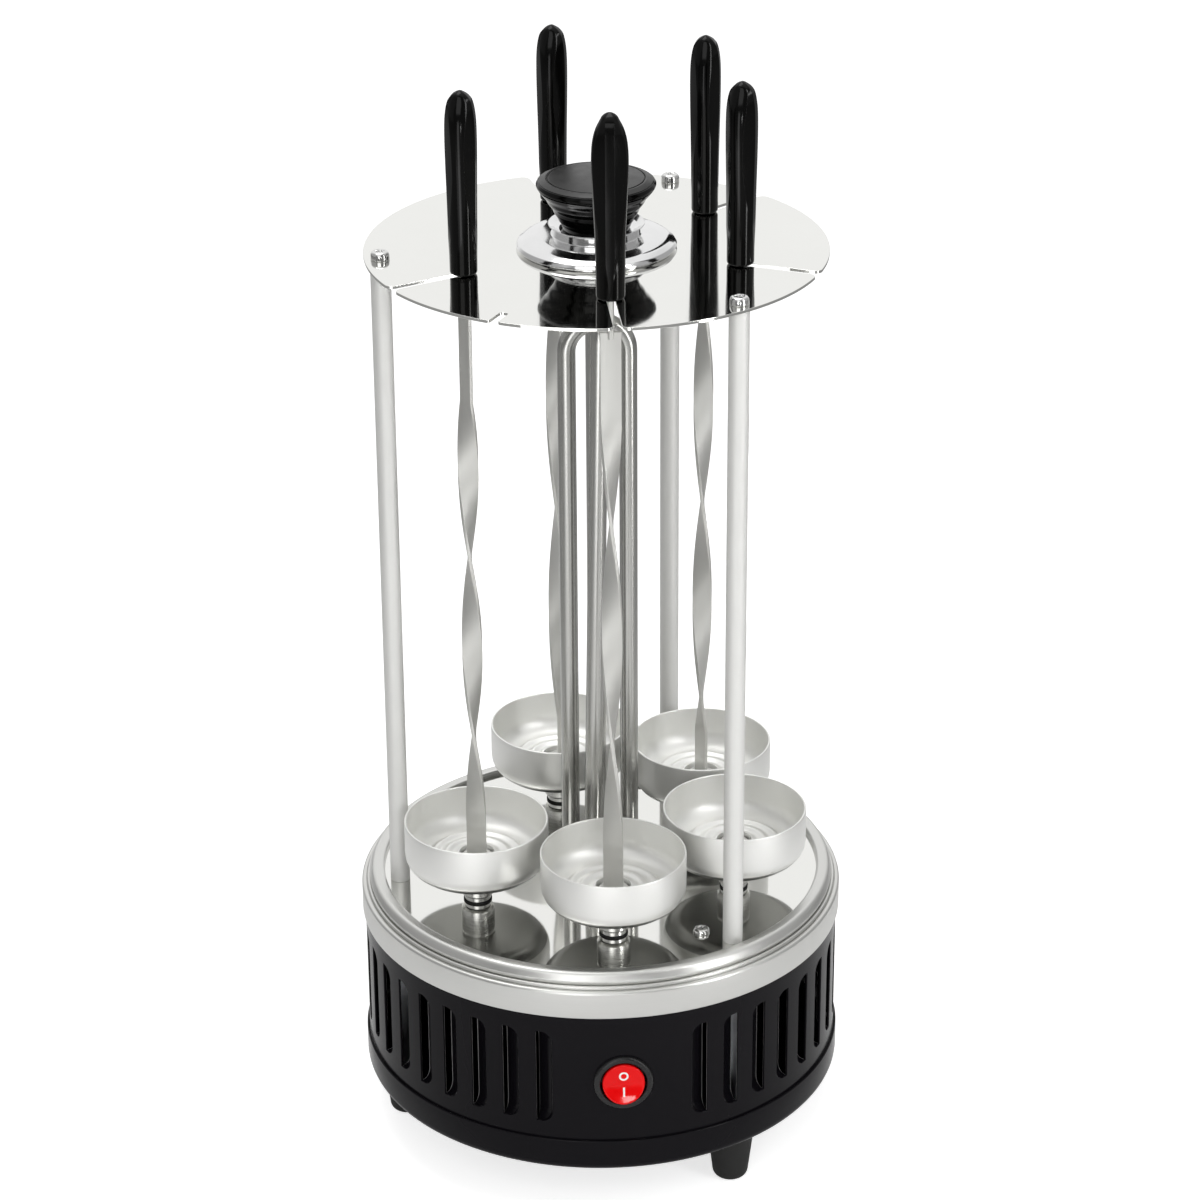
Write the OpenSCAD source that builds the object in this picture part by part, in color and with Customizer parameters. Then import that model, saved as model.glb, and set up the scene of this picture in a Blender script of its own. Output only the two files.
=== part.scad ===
// Upright electric skewer grill: five turning skewers stand in a ring round a bare heater.
// Millimetres, +Z up. The origin is on the ground, on the axis of the drum; -Y is the switch side.

/* [Base] */
// Radius of the bottom pan and of the steel rim band
base_r = 100; // [98:0.5:106]
// Height of the rubber feet
foot_h = 24; // [20:1:30]
// Radius of a foot where it meets the pan
foot_top_r = 9.5; // [8:0.5:11]
// Radius of the flat on which a foot stands
foot_ground_r = 6; // [5.5:0.25:7]
// Height of the bottom pan
pan_h = 14.5; // [11:0.5:18]
// Rounding of the pan's lower edge
pan_corner_r = 4; // [2.5:0.5:5]
// Height of the drum between the pan and the rim band
drum_h = 57.5; // [52:0.5:66]
// Thickness of the sheet metal
sheet_t = 1; // [0.8:0.1:1.2]
// Gap between sheets that slip over each other
slip_gap = 0.1; // [0.05:0.05:0.2]

/* [Vents] */
// Width of a vent louvre
vent_w = 7; // [5:0.25:8]
// Height of a vent louvre
vent_h = 42; // [34:1:46]
// Depth of a louvre's flap behind the drum's face
vent_depth = 3.8; // [2.5:0.1:4.5]
// Height of the lowest point of a louvre above the pan's lip
vent_above_pan = 7.5; // [5:0.5:9]
// Angle from the switch to the nearest louvre
vent_first_a = 18.5; // [16:0.5:22]
// Angle between neighbouring louvres
vent_step_a = 8.3; // [7.5:0.1:8.5]
// Louvres on each side
vents_per_side = 18; // [12:1:18]

/* [Rim and deck] */
// Height of the plain rim band
rim_band_h = 12; // [10:0.5:14]
// Height of the rolled lip above the band
rim_lip_h = 6.4; // [5.5:0.2:7.5]
// Width of the rolled lip, from the band's face to its inner edge
rim_lip_w = 9.7; // [9:0.1:11]
// Depth of the deck below the lip's top
deck_drop = 2.4; // [2:0.1:3]
// Lap of the drum inside the rim band
drum_lap = 10; // [8:0.5:10]
// Width of the drum's inward flange
drum_flange_w = 8; // [6:0.5:9]

/* [Columns and top plate] */
// Distance of the columns' axes inside the band's face
column_inset = 15.7; // [15.5:0.1:17]
// Direction of the first column
column_a0 = -56; // [-58:1:-54]
// Diameter of a column
column_d = 8; // [7:0.25:9]
// Length of a column between deck and top plate
column_len = 271.2; // [255:0.2:285]
// Diameter of the column's lower stud
stud_d = 5; // [4:0.25:5.5]
// Length of the column's lower stud
stud_len = 14; // [10:1:18]
// Distance of the top plate's edge inside the band's face
plate_inset = 9.5; // [7:0.25:10.5]
// Thickness of the top plate
plate_t = 1.2; // [1:0.1:1.6]
// Width of a skewer slot in the top plate
slot_w = 3.4; // [3.2:0.1:4]
// Rounding where a slot leaves the plate's edge
slot_mouth_r = 3; // [2:0.25:4]
// Direction of the short notch
notch_a = -120; // [-124:1:-116]
// Depth of the short notch
notch_depth = 10; // [9:0.5:12]
// Width of the short notch
notch_w = 3.4; // [3:0.1:4.5]

/* [Knob] */
// Radius of the chrome dish under the knob
dish_r = 31.4; // [30:0.2:33]
// Height of the dish's flared ring
dish_h = 10; // [9:0.5:11]
// Radius of the dish's flared ring
dish_ring_r = 18.8; // [18:0.2:20]
// Largest radius of the knob
knob_r = 23.3; // [22:0.1:25]
// Radius of the knob's foot
knob_foot_r = 13; // [12:0.25:14]
// Height of the knob's top above the top plate
knob_top_h = 28; // [26:0.5:31]

/* [Skewers] */
// Number of skewers
stations = 5; // [5]
// Direction of the first skewer
station_a0 = -154; // [-155:0.5:-153]
// Angle between neighbouring skewers
station_step_a = 64; // [63:0.25:64.5]
// Width of the flat blade
blade_w = 8; // [7:0.1:8.2]
// Thickness of the flat blade
blade_t = 1.5; // [1.2:0.1:1.6]
// Depth of the blade's tip in its socket
tip_depth = 9.5; // [8:0.5:10]
// Diameter of the round neck that runs in the slot
neck_d = 2.8; // [2.4:0.1:2.8]
// Length of the neck below the top plate
neck_below = 12; // [11:0.5:14]
// Length of the tang in the handle
tang_len = 32; // [24:1:40]
// Length of a handle
handle_len = 72; // [66:1:80]
// Gap between a handle and the top plate
handle_gap = 0.3; // [0.3:0.05:0.6]

/* [Cups and spindles] */
// Distance from the base's outer radius in to the stations of the skewers
station_inset = 41; // [40:0.25:42]
// Radius round the heater that the drip cups leave clear
cup_clear_r = 29.6; // [29.2:0.1:31]
// Height of a drip cup
cup_h = 22; // [18:0.5:26]
// Wall of a drip cup
cup_wall = 0.9; // [0.7:0.1:1.2]
// Rounding of a cup's lower edge
cup_corner_r = 8; // [6:0.5:10]
// Diameter of the polished collar under a cup
collar_d = 13.5; // [13:0.25:15]
// Height of the collar
collar_h = 12.3; // [11.5:0.1:14]
// Height of the bush above the deck
bush_above = 2.4; // [2.2:0.1:3.2]
// Outer diameter of the bush
bush_d = 10.8; // [10.4:0.1:11.4]
// Diameter of the spindle's shaft
shaft_d = 8; // [7:0.25:8.5]
// Diameter of the spindle's lower journal
journal_d = 6; // [5:0.25:6.5]
// Clearance round the blade's tip in its socket
socket_gap = 0.3; // [0.25:0.05:0.35]

/* [Drive] */
// Teeth of the sun gear
sun_teeth = 40; // [40]
// Teeth of the spindle gears and of the motor pinion
planet_teeth = 19; // [19]
// Width of the gears
gear_w = 10; // [8:0.5:12]
// Play between meshing teeth
backlash = 0.3; // [0.2:0.05:0.4]
// Length of the spacers between deck and gear plate
spacer_len = 27; // [26:0.5:30]
// Distance from the gear plate's edge in to the spacers and deck screws
spacer_edge = 5; // [4.5:0.25:8]
// Thickness of the gear plate
gear_plate_t = 2; // [1.5:0.1:2.5]
// Gap between the gear plate and the posts
gear_plate_gap = 2.3; // [2:0.1:4]
// Outer radius of the heater hub, the sun gear's journal
hub_r = 23; // [22:0.25:24]
// Bore radius of the heater hub
hub_bore_r = 19; // [18.5:0.25:19.5]
// Width of the hub's flange
hub_flange_w = 6; // [5:0.25:6.5]
// Height of the hub's flange
hub_flange_h = 3.9; // [3:0.1:5]
// Radius of the motor
motor_r = 25; // [22:0.5:26]
// Height of the motor
motor_h = 22; // [18:0.5:26]
// Diameter of the motor's shaft
motor_shaft_d = 7; // [6:0.25:8]
// Radial running clearance
run_gap = 0.05; // [0.03:0.01:0.08]

/* [Heater] */
// Diameter of the heater tube
tube_d = 7.4; // [6.5:0.1:8]
// Radius of a heater bend
bend_r = 12.2; // [12:0.1:12.6]
// Gap between the top plate and the top of the upper loop
loop_below_plate = 18; // [14:1:24]
// Gap between the two crossing loops
loop_gap = 0.8; // [0.5:0.1:2]
// Sideways lean of the front leg between bend and deck
leg_lean = 5; // [0:0.5:5]

/* [Switch and cord inlet] */
// Depth of the switch centre below the rim band
switch_below_rim = 30; // [26:0.5:32]
// Radius of the switch bezel
bezel_r = 12; // [11.5:0.25:13]
// Thickness of the bezel in front of the drum
bezel_t = 1.8; // [1.5:0.1:2.2]
// Radius of the switch body behind the drum wall
switch_body_r = 10; // [9.9:0.05:10.4]
// Depth of the switch body
switch_depth = 20; // [18:0.5:24]
// Radius of the rocker
rocker_r = 8.8; // [8.4:0.1:8.9]
// Gap round the rocker
rocker_gap = 0.3; // [0.25:0.05:0.4]
// Swing of the rocker between off and on
rocker_swing = 18; // [14:1:20]
// Bore radius of the cord inlet
inlet_r = 3.6; // [3:0.1:4]
// Height of the cord inlet above the pan's lip
inlet_above_pan = 12; // [11:0.5:16]

/* [Hidden] */
$fn = 96;

// Colours
enamel = [0.06, 0.055, 0.065];
rubber = [0.05, 0.05, 0.05];
bakelite = [0.03, 0.03, 0.03];
mirror_steel = [0.86, 0.86, 0.84];
satin_steel = [0.78, 0.78, 0.76];
aluminium = [0.88, 0.88, 0.86];
tube_steel = [0.5, 0.5, 0.48];
blade_steel = [0.65, 0.65, 0.63];
zinc = [0.7, 0.72, 0.74];
brass = [0.8, 0.65, 0.35];
nylon = [0.92, 0.92, 0.88];
ceramic = [0.95, 0.94, 0.9];
signal_red = [0.85, 0.05, 0.04];
wire_grey = [0.55, 0.55, 0.58];

// Heights, from the ground up
pan_z0 = foot_h;
pan_floor_z = pan_z0 + sheet_t;
pan_lip_z = pan_z0 + pan_h;
rim_z0 = pan_lip_z + drum_h;
rim_band_top = rim_z0 + rim_band_h;
lip_top = rim_band_top + rim_lip_h;
deck_z = lip_top - deck_drop;
deck_under = deck_z - sheet_t;
drum_top = rim_z0 + drum_lap;
gear_plate_top = deck_under - spacer_len;
gear_plate_under = gear_plate_top - gear_plate_t;
gear_z0 = gear_plate_top + hub_flange_h + 2 * run_gap;
bush_top = deck_z + bush_above;
collar_z0 = bush_top + 0.3;
cup_z0 = collar_z0 + collar_h;
cup_rim_z = cup_z0 + cup_h;
plate_z0 = deck_z + column_len;
plate_top = plate_z0 + plate_t;
handle_z0 = plate_top + handle_gap;
handle_top = handle_z0 + handle_len;
motor_z0 = gear_plate_under - motor_h;
switch_z = rim_z0 - switch_below_rim;
inlet_z = pan_lip_z + inlet_above_pan;

// Radii and directions
drum_r = base_r - sheet_t - slip_gap;
rim_inner_r = base_r - rim_lip_w;
deck_lap = 3.7;
deck_r = rim_inner_r + deck_lap;
column_ring_r = base_r - column_inset;
plate_r = base_r - plate_inset;
post_r = 5;
gear_plate_r = column_ring_r - post_r - gear_plate_gap;
station_r = base_r - station_inset;
gear_m = 2 * station_r / (sun_teeth + planet_teeth);
cup_r = station_r - cup_clear_r;
motor_a = station_a0 + station_step_a * (stations - 1) / 2 + 180;
column_count = 3;
spacer_ring_r = gear_plate_r - spacer_edge;
spacer_a = [station_a0 + 1.46 * station_step_a, station_a0 + 3.5 * station_step_a,
    (motor_a + station_a0 + 360) / 2];
flange_screw_r = (hub_r + hub_bore_r) / 2;

// Fasteners
screw_d = 4;
screw_head_r = 3.4;
screw_head_h = 2.4;
small_screw_d = 2.5;
small_head_r = 2.3;
small_head_h = 1.6;
deck_screw_len = 10;
flange_screw_len = 8;
column_screw_grip = 12;
hole_gap = 0.15;
thread_gap = 0.02;

function station_a(i) = station_a0 + station_step_a * i;
function polar(r, a) = [r * cos(a), r * sin(a)];
function arc(c, r, a0, a1, n = 8) = [for (k = [0 : n]) c + polar(r, a0 + (a1 - a0) * k / n)];

module at(r, a, z = 0) {
    translate([r * cos(a), r * sin(a), z]) children();
}

module at_columns(z = 0) {
    for (k = [0 : column_count - 1])
        at(column_ring_r, column_a0 + 360 / column_count * k, z) children();
}

module at_stations(z = 0) {
    for (i = [0 : stations - 1])
        at(station_r, station_a(i), z) children();
}

module at_spacers(z = 0) {
    for (a = spacer_a)
        at(spacer_ring_r, a, z) children();
}

module at_flange_screws(z = 0) {
    for (a = [45, 165, 285])
        at(flange_screw_r, a, z) children();
}

module tube(r_out, r_in, h) {
    difference() {
        cylinder(r = r_out, h = h);
        translate([0, 0, -1]) cylinder(r = r_in, h = h + 2);
    }
}

// Pan-head screw with a cross recess; z = 0 is the seat and the thread goes down
module pan_screw(d, head_r, head_h, len) {
    recess_w = head_r * 0.3;
    difference() {
        union() {
            translate([0, 0, -len]) cylinder(d = d, h = len + head_h / 2);
            rotate_extrude() polygon(concat([[0, 0], [head_r, 0], [head_r, head_h * 0.45]],
                arc([head_r * 0.45, head_h * 0.45], head_h * 0.55, 0, 90, 6), [[0, head_h]]));
        }
        for (turn = [0, 90])
            rotate(turn) translate([-head_r * 0.6, -recess_w / 2, head_h * 0.5])
                cube([head_r * 1.2, recess_w, head_h]);
    }
}

// Closed skin through equal rings of points, each ring anticlockwise seen from above
module loft(rings) {
    n = len(rings[0]);
    last = (len(rings) - 1) * n;
    sides = [for (j = [0 : len(rings) - 2]) for (k = [0 : n - 1])
        let (a = j * n + k, b = j * n + (k + 1) % n) each [[a, a + n, b], [b, a + n, b + n]]];
    bottom = [for (k = [0 : n - 1]) k];
    top = [for (k = [n - 1 : -1 : 0]) last + k];
    polyhedron([for (r = rings) each r], concat(sides, [bottom, top]));
}

// Base

module base_pan() {
    corner = [base_r - pan_corner_r, pan_z0 + pan_corner_r];
    color(enamel) difference() {
        rotate_extrude() polygon(concat([[0, pan_z0]], arc(corner, pan_corner_r, -90, 0),
            [[base_r, pan_lip_z], [base_r - sheet_t, pan_lip_z]],
            arc(corner, pan_corner_r - sheet_t, 0, -90), [[0, pan_floor_z]]));
        at_columns(pan_z0 - 1) cylinder(d = screw_d + 2 * hole_gap, h = sheet_t + 2);
    }
}

foot_bore_r = screw_head_r + 0.6;
foot_seat_z = foot_h / 2;

module feet() {
    round_r = 2;
    color(rubber) at_columns() difference() {
        rotate_extrude() polygon(concat([[0, 0]], arc([foot_ground_r, round_r], round_r, -90, -10, 5),
            [[foot_top_r, foot_h - 3], [foot_top_r, foot_h], [0, foot_h]]));
        translate([0, 0, -1]) cylinder(r = foot_bore_r, h = foot_seat_z + 1);
        cylinder(d = screw_d + 2 * hole_gap, h = foot_h + 1);
    }
}

foot_screw_grip = 12;
foot_screw_len = foot_h - foot_seat_z + sheet_t + foot_screw_grip;

module foot_screws() {
    color(zinc) at_columns(foot_seat_z) rotate([180, 0, 0])
        pan_screw(screw_d, screw_head_r, screw_head_h, foot_screw_len);
}

module posts() {
    color(zinc) at_columns() difference() {
        translate([0, 0, pan_floor_z]) cylinder(r = post_r, h = deck_under - pan_floor_z, $fn = 6);
        translate([0, 0, pan_floor_z - 1]) cylinder(d = screw_d + 2 * thread_gap, h = foot_screw_grip + 3);
        translate([0, 0, deck_z - stud_len - 1]) cylinder(d = stud_d + 2 * thread_gap, h = stud_len + 2);
    }
}

module slot_2d(w, h) {
    square([w, h - w], center = true);
    for (s = [-1, 1]) translate([0, s * (h - w) / 2]) circle(d = w);
}

// Outline of a louvre: its cut edge is straight and lies on x = 0, and its other side is rounded
module louvre_2d(w, h) {
    difference() {
        slot_2d(2 * w, h);
        translate([0, -h]) square(2 * h);
    }
}

// Sets outlines on the drum, with each louvre's cut edge away from the switch
module at_louvres(depth) {
    vent_z = pan_lip_z + vent_above_pan + vent_h / 2;
    for (side = [-1, 1], k = [0 : vents_per_side - 1])
        rotate(-90 + side * (vent_first_a + vent_step_a * k)) translate([drum_r - depth, 0, vent_z])
            rotate([90, 0, 90]) mirror([side < 0 ? 1 : 0, 0, 0]) translate([vent_w / 2, 0, 0]) children();
}

module base_shell() {
    shell_z0 = pan_z0 + pan_corner_r;
    inner_r = drum_r - sheet_t;
    bite = 0.4 * sheet_t;
    color(enamel) difference() {
        union() {
            rotate_extrude() polygon([[inner_r, shell_z0], [drum_r, shell_z0], [drum_r, drum_top],
                [drum_r - drum_flange_w, drum_top], [drum_r - drum_flange_w, drum_top - sheet_t],
                [inner_r, drum_top - sheet_t]]);
            at_louvres(vent_depth + sheet_t) linear_extrude(vent_depth + bite)
                translate([-sheet_t / 2, 0]) louvre_2d(vent_w + sheet_t / 2, vent_h + 2 * sheet_t);
        }
        at_louvres(vent_depth) linear_extrude(2 * vent_depth) louvre_2d(vent_w, vent_h);
        switch_place() translate([0, 0, -5]) cylinder(r = switch_body_r + hole_gap, h = 10);
        inlet_place() translate([0, 0, -5]) cylinder(r = gland_r + hole_gap, h = 10);
    }
}

module rim_ring() {
    skirt_r = base_r - 3;
    lip_r = (skirt_r + rim_inner_r) / 2;
    roll = rim_lip_h - 1.2;
    inside = sheet_t;
    color(satin_steel) rotate_extrude() polygon(concat(
        [[base_r - inside, rim_z0], [base_r, rim_z0]],
        arc([base_r - 1.2, rim_band_top - 1.2], 1.2, 0, 90, 5),
        [[skirt_r + 1, rim_band_top], [skirt_r + 0.8, rim_band_top + 0.7], [skirt_r, rim_band_top + 0.7]],
        arc([skirt_r - roll + 1.2, lip_top - roll + 0.6], roll - 0.6, 10, 90, 8),
        arc([rim_inner_r + 1.4, lip_top - 1.4], 1.4, 90, 180, 6),
        [[rim_inner_r, deck_z], [rim_inner_r + inside, deck_z], [rim_inner_r + inside, lip_top - 1.4],
         [lip_r, lip_top - inside], [skirt_r - roll + 1, lip_top - inside]],
        arc([skirt_r - roll + 1.2, lip_top - roll + 0.6], roll - 0.6 - inside, 80, 10, 6),
        [[skirt_r - inside, rim_band_top - inside], [base_r - inside, rim_band_top - inside - 0.2]]));
}

module deck_plate() {
    color(mirror_steel) difference() {
        rotate_extrude() polygon([[hub_bore_r, deck_under], [deck_r - sheet_t, deck_under],
            [deck_r - sheet_t, drum_top], [deck_r, drum_top], [deck_r, deck_z], [hub_bore_r, deck_z]]);
        at_stations(deck_under - 1) cylinder(d = bush_d + 2 * thread_gap, h = sheet_t + 2);
        at_columns(deck_under - 1) cylinder(d = stud_d + 2 * hole_gap, h = sheet_t + 2);
        at_spacers(deck_under - 1) cylinder(d = screw_d + 2 * hole_gap, h = sheet_t + 2);
        at_flange_screws(deck_under - 1) cylinder(d = small_screw_d + 2 * hole_gap, h = sheet_t + 2);
    }
}

module deck_screws() {
    color(satin_steel) {
        at_spacers(deck_z) pan_screw(screw_d, screw_head_r, screw_head_h, deck_screw_len);
        at_flange_screws(deck_z + flange_t)
            pan_screw(small_screw_d, small_head_r, small_head_h, flange_screw_len);
    }
}

module spacers() {
    color(zinc) at_spacers() difference() {
        translate([0, 0, gear_plate_top]) cylinder(d = screw_d + 5, h = spacer_len, $fn = 6);
        translate([0, 0, gear_plate_top - 1]) cylinder(d = screw_d + 2 * thread_gap, h = spacer_len + 2);
    }
}

module gear_plate() {
    color(zinc) difference() {
        translate([0, 0, gear_plate_under]) tube(gear_plate_r, hub_bore_r, gear_plate_t);
        at_stations(gear_plate_under - 1) cylinder(d = journal_d + 2 * run_gap, h = gear_plate_t + 2);
        at(station_r, motor_a, gear_plate_under - 1) cylinder(d = motor_shaft_d + 1, h = gear_plate_t + 2);
        at_motor_ears(gear_plate_under - 1) cylinder(d = small_screw_d + 2 * hole_gap, h = gear_plate_t + 2);
    }
}

// Columns, top plate and knob

module columns() {
    top_hole = column_screw_grip + 4;
    color(aluminium) at_columns() difference() {
        union() {
            translate([0, 0, deck_z]) cylinder(d = column_d, h = column_len);
            translate([0, 0, deck_z - stud_len]) cylinder(d = stud_d, h = stud_len + 1);
        }
        translate([0, 0, plate_z0 - top_hole]) cylinder(d = screw_d + 2 * thread_gap, h = top_hole + 1);
    }
}

module column_screws() {
    column_head_r = 3.8;
    column_head_h = 3.6;
    color(mirror_steel) at_columns(plate_top)
        pan_screw(screw_d, column_head_r, column_head_h, column_screw_grip + plate_t);
}

slot_end_r = station_r;

// Skewer slot along +X, from its round inner end out past the plate's edge, with eased corners
module plate_slot_2d() {
    reach = plate_r + 5 - slot_end_r;
    translate([slot_end_r, 0]) circle(d = slot_w);
    translate([slot_end_r, -slot_w / 2]) square([reach, slot_w]);
    mouth_x = sqrt(pow(plate_r, 2) - pow(slot_w / 2 + slot_mouth_r, 2)) - slot_mouth_r;
    for (s = [-1, 1]) difference() {
        translate([mouth_x, s > 0 ? slot_w / 2 - 0.5 : -slot_w / 2 - slot_mouth_r])
            square([slot_mouth_r + 5, slot_mouth_r + 0.5]);
        translate([mouth_x, s * (slot_w / 2 + slot_mouth_r)]) circle(r = slot_mouth_r);
    }
}

// Short notch with a round inner end
module notch_2d() {
    inner_x = plate_r - notch_depth + notch_w / 2;
    translate([inner_x, -notch_w / 2]) square([notch_depth + 5, notch_w]);
    translate([inner_x, 0]) circle(d = notch_w);
}

module top_plate() {
    color(mirror_steel) translate([0, 0, plate_z0]) difference() {
        cylinder(r = plate_r, h = plate_t);
        for (i = [0 : stations - 1])
            rotate(station_a(i)) translate([0, 0, -1]) linear_extrude(plate_t + 2) plate_slot_2d();
        rotate(notch_a) translate([0, 0, -1]) linear_extrude(plate_t + 2) notch_2d();
        at_columns(-1) cylinder(d = screw_d + 2 * hole_gap, h = plate_t + 2);
        translate([0, 0, -1]) cylinder(d = knob_screw_d + 2 * hole_gap, h = plate_t + 2);
    }
}

knob_screw_d = 5;
dish_wall = 0.8;
knob_seat_h = dish_h - 2.2;
knob_ridge = 0.7;

module knob_dish() {
    edge_r = 1.4;
    neck_r = dish_ring_r - 2;
    neck_h = dish_h - 3.8;
    dome = [[dish_r - 5, neck_h - 2], [dish_r - 9, neck_h - 0.8], [neck_r, neck_h]];
    seat_r = knob_foot_r + knob_ridge + 0.5;
    color(mirror_steel) translate([0, 0, plate_top]) difference() {
        rotate_extrude() polygon(concat(
            [[dish_r - 2 * edge_r, 0]], arc([dish_r - edge_r, edge_r], edge_r, -90, 60, 6), dome,
            [[neck_r, neck_h + dish_wall], [dish_ring_r, dish_h], [dish_ring_r - dish_wall, dish_h],
             [seat_r, knob_seat_h], [0, knob_seat_h], [0, knob_seat_h - dish_wall],
             [neck_r - dish_wall, knob_seat_h - 1.5 * dish_wall]],
            [for (k = [2 : -1 : 0]) dome[k] - [k == 2 ? dish_wall : 0, dish_wall]],
            [[dish_r - 2 * edge_r, edge_r]]));
        cylinder(d = knob_screw_d + 2 * hole_gap, h = dish_h);
    }
}

module knob() {
    ridge_count = 3;
    rim_h = 3.4;
    bevel_w = 3;
    groove_r = knob_r - bevel_w - 1.3;
    groove_w = 0.6;
    groove_h = 0.5;
    top_wall = 6;
    flare_h = knob_top_h - rim_h - knob_seat_h;
    flare_w = knob_r - 1 - knob_foot_r;
    ridges = [for (k = [0 : ridge_count - 1]) let (t0 = k / ridge_count, t1 = (k + 0.8) / ridge_count)
        each [[knob_foot_r + flare_w * t0 + knob_ridge, knob_seat_h + flare_h * t0],
              [knob_foot_r + flare_w * t1 + knob_ridge, knob_seat_h + flare_h * t1]]];
    color(bakelite) translate([0, 0, plate_top]) difference() {
        rotate_extrude() polygon(concat([[0, knob_seat_h]], ridges,
            [[knob_r - groove_h, knob_top_h - rim_h], [knob_r, knob_top_h - 0.75 * rim_h],
             [knob_r - bevel_w, knob_top_h], [groove_r, knob_top_h], [groove_r, knob_top_h - groove_h],
             [groove_r - groove_w, knob_top_h - groove_h], [groove_r - groove_w, knob_top_h],
             [0, knob_top_h]]));
        cylinder(d = knob_screw_d + 2 * thread_gap, h = knob_top_h - top_wall);
    }
}

module knob_screw() {
    knob_screw_grip = 9;
    length = plate_t + knob_seat_h + knob_screw_grip;
    color(satin_steel) translate([0, 0, plate_z0]) rotate([180, 0, 0])
        pan_screw(knob_screw_d, 0.9 * knob_screw_d, 0.6 * knob_screw_d, length);
}

// Heater

flange_t = 1.5;
flange_r = hub_r + 2;
leg_below_deck = 14;
leg_foot_z = deck_under - leg_below_deck;
low_bend_z = plate_z0 - loop_below_plate - tube_d - loop_gap - bend_r - tube_d / 2;
high_bend_z = plate_z0 - loop_below_plate - bend_r - tube_d / 2;
front_foot = [-leg_lean * 0.85, -bend_r];
leg_feet = [[-bend_r, 0], [bend_r, 0], [0, bend_r], front_foot];

function unit(v) = v / norm(v);

// Round tube of equal rings along a path; no stretch of the path may run along ref
module sweep(path, d, sides, ref) {
    last = len(path) - 1;
    loft([for (k = [0 : last])
        let (t = unit(path[min(k + 1, last)] - path[max(k - 1, 0)]), u = unit(cross(t, ref)), v = cross(t, u))
            [for (j = [0 : sides - 1]) let (a = 360 / sides * j)
                path[k] + d / 2 * (cos(a) * u + sin(a) * v)]]);
}

module bend(z) {
    translate([0, 0, z]) rotate([90, 0, 0]) rotate_extrude(angle = 180)
        translate([bend_r, 0]) circle(d = tube_d);
}

module heater_hub() {
    color(zinc) translate([0, 0, gear_plate_top]) difference() {
        union() {
            tube(hub_r, hub_bore_r, spacer_len);
            tube(hub_r + hub_flange_w, hub_bore_r, hub_flange_h);
        }
        at_flange_screws(spacer_len - flange_screw_len - 1)
            cylinder(d = small_screw_d + 2 * thread_gap, h = flange_screw_len + 2);
    }
}

module heater_flange() {
    color(satin_steel) difference() {
        translate([0, 0, deck_z]) cylinder(r = flange_r, h = flange_t);
        for (p = leg_feet)
            translate([p[0], p[1], deck_z - 1]) cylinder(d = tube_d + 2 * hole_gap, h = flange_t + 2);
        at_flange_screws(deck_z - 1) cylinder(d = small_screw_d + 2 * hole_gap, h = flange_t + 2);
    }
}

module heater_loop_low() {
    color(tube_steel) {
        bend(low_bend_z);
        for (x = [-bend_r, bend_r])
            translate([x, 0, leg_foot_z]) cylinder(d = tube_d, h = low_bend_z - leg_foot_z);
    }
}

module heater_loop_high() {
    lean_z0 = deck_z + 4;
    bend_steps = 24;
    over = [for (k = [0 : bend_steps]) let (a = 180 * k / bend_steps)
        [0, -bend_r * cos(a), high_bend_z + bend_r * sin(a)]];
    front_leg = [for (z = [leg_foot_z, lean_z0]) [front_foot[0], front_foot[1], z]];
    color(tube_steel) sweep(concat(front_leg, over, [[0, bend_r, leg_foot_z]]), tube_d, 28, [1, 0, 0]);
}

insulator_r = 4.6;
insulator_h = 9;
pin_d = 3;
pin_below = 7;

module heater_insulators() {
    color(ceramic) for (p = leg_feet)
        translate([p[0], p[1], leg_foot_z - insulator_h])
            tube(insulator_r, pin_d / 2 + thread_gap, insulator_h);
}

module heater_terminals() {
    color(brass) for (p = leg_feet)
        translate([p[0], p[1], leg_foot_z - insulator_h - pin_below])
            cylinder(d = pin_d, h = insulator_h + pin_below);
}

// Drive

function inv(a) = tan(a) * 180 / PI - a;

module gear_2d(teeth) {
    pressure_a = 20;
    pitch_r = gear_m * teeth / 2;
    base_circle_r = pitch_r * cos(pressure_a);
    tip_r = pitch_r + gear_m;
    root_r = pitch_r - 1.25 * gear_m;
    play_a = backlash / 4 / pitch_r * 180 / PI;
    flank_r = [for (k = [0 : 4]) base_circle_r + 0.02 + (tip_r - base_circle_r - 0.02) * k / 4];
    half_a = [for (r = flank_r) 90 / teeth + inv(pressure_a) - inv(acos(base_circle_r / r)) - play_a];
    polygon([for (k = [0 : teeth - 1]) let (mid = k * 360 / teeth) each concat(
        [polar(root_r, mid - half_a[0])], [for (j = [0 : 4]) polar(flank_r[j], mid - half_a[j])],
        [for (j = [4 : -1 : 0]) polar(flank_r[j], mid + half_a[j])], [polar(root_r, mid + half_a[0])])]);
}

// Turn that sets a gear at direction a in mesh with the sun gear, whose first tooth points along +X
function mesh_turn(a) = let (tooth_a = 360 / sun_teeth, off = round(a / tooth_a) * tooth_a - a)
    a + 180 - sun_teeth / planet_teeth * off - 180 / planet_teeth;

module sun_gear() {
    color(nylon) translate([0, 0, gear_z0]) difference() {
        linear_extrude(gear_w) gear_2d(sun_teeth);
        translate([0, 0, -1]) cylinder(r = hub_r + run_gap, h = gear_w + 2);
    }
}

module planet(a, bore_d) {
    at(station_r, a, gear_z0) difference() {
        rotate(mesh_turn(a)) linear_extrude(gear_w) gear_2d(planet_teeth);
        translate([0, 0, -1]) cylinder(d = bore_d + 2 * thread_gap, h = gear_w + 2);
    }
}

module spindle_gear(i) {
    color(nylon) planet(station_a(i), shaft_d);
}

motor_ear_off = motor_r + 4;

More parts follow.
